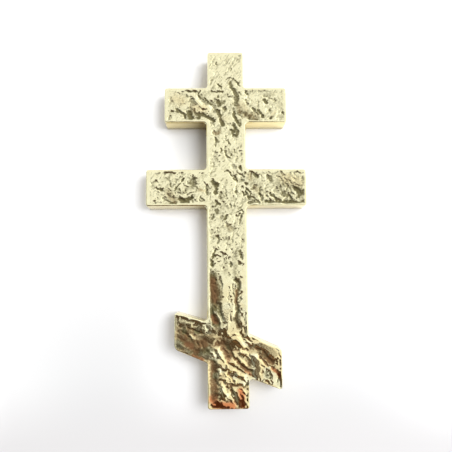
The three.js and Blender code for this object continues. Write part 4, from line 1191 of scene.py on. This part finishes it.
def pale_room():
    """World colour by direction: pale, brighter on the right, dim on the left, and a patch of dark ceiling.

    The patch is the product of three steps: towards the foot, not too far right, not too far left.
    It turns from dark ceiling into a warm wall as it comes down beyond the foot.
    """
    world = bpy.data.worlds.new("pale_room")
    bpy.context.scene.world = world
    world.use_nodes = True
    tree = world.node_tree
    tree.nodes.clear()
    direction = add_node(tree, "ShaderNodeTexCoord").outputs["Generated"]
    dim_side = towards(tree, direction, (-0.75, -0.65, 0), 0.16, 0.75)
    window_side = towards(tree, direction, (0.94, 0.34, 0), 0.42, 0.5)
    colour = blend_colour(tree, dim_side, PALE_WALL, LEFT_WALL)
    colour = blend_colour(tree, window_side, colour, WINDOW_SIDE)
    footwards = towards(tree, direction, (0, -1, 0), 0.08, 0.105)
    right = towards(tree, direction, (1, 0, 0), 0.08, 0.15)
    left = towards(tree, direction, (-1, 0, 0), 0.42, 0.52)
    shaded = math_node(tree, "MULTIPLY", footwards, math_node(tree, "SUBTRACT", 1.0, right))
    shaded = math_node(tree, "MULTIPLY", shaded, math_node(tree, "SUBTRACT", 1.0, left))
    dim = blend_colour(tree, towards(tree, direction, (0, -1, 0), 0.35, 0.8), DARK_CEILING, WARM_WALL)
    colour = blend_colour(tree, shaded, colour, dim)
    background = tree.nodes.new("ShaderNodeBackground")
    tree.links.new(colour, background.inputs[0])
    output = tree.nodes.new("ShaderNodeOutputWorld")
    tree.links.new(background.outputs[0], output.inputs[0])


def soft_lamp(name, place, size, power, colour):
    """A square lamp at a place in metres, turned towards the cross."""
    lamp = bpy.data.lights.new(name, "AREA")
    lamp.size = size
    lamp.energy = power
    lamp.color = colour
    made = bpy.data.objects.new(name, lamp)
    made.matrix_world = Matrix.Translation(place) @ Vector(place).to_track_quat("Z", "Y").to_matrix().to_4x4()
    made.visible_camera = False
    made.visible_glossy = False
    bpy.context.scene.collection.objects.link(made)


pale_room()
soft_lamp("window", (0.5, 0.1, 0.85), 0.55, 6.8, (0.98, 0.99, 1))
soft_lamp("open_door", (-0.15, -0.8, 0.55), 0.9, 1.5, (0.96, 0.98, 1))
bpy.context.scene.view_settings.view_transform = "Standard"
print("room and two soft lamps ready")

# %% [markdown]
# ## Camera
#
# The camera hangs 26 cm above the paper, a little towards the foot, and looks almost straight down.
# Its place and turns were found by fitting the corners of the face and the foot of the walls to the
# photograph, because so near a camera shows some walls and hides others.

# %% The camera
FOCAL_PIXELS = 450
PICTURE_PIXELS = 452
CAMERA_PLACE = (-5.4 * MM, -29.8 * MM, 261 * MM)
# Degrees
TILT, PAN, ROLL = 6.43, -1.13, -0.585


def hanging_camera():
    """A camera whose turns are applied in the order roll, tilt, pan, starting from straight down."""
    lens = bpy.data.cameras.new("camera")
    lens.sensor_width = 36
    lens.lens = FOCAL_PIXELS / PICTURE_PIXELS * lens.sensor_width
    lens.clip_start = 0.01
    made = bpy.data.objects.new("camera", lens)
    turns = ((PAN, "Y"), (TILT, "X"), (ROLL, "Z"))
    turned = Matrix.Identity(4)
    for degrees, axis in turns:
        turned = turned @ Matrix.Rotation(math.radians(degrees), 4, axis)
    made.matrix_world = Matrix.Translation(CAMERA_PLACE) @ turned
    bpy.context.scene.collection.objects.link(made)
    bpy.context.scene.camera = made
    return lens.lens


print(f"camera: {hanging_camera():.1f} mm lens")
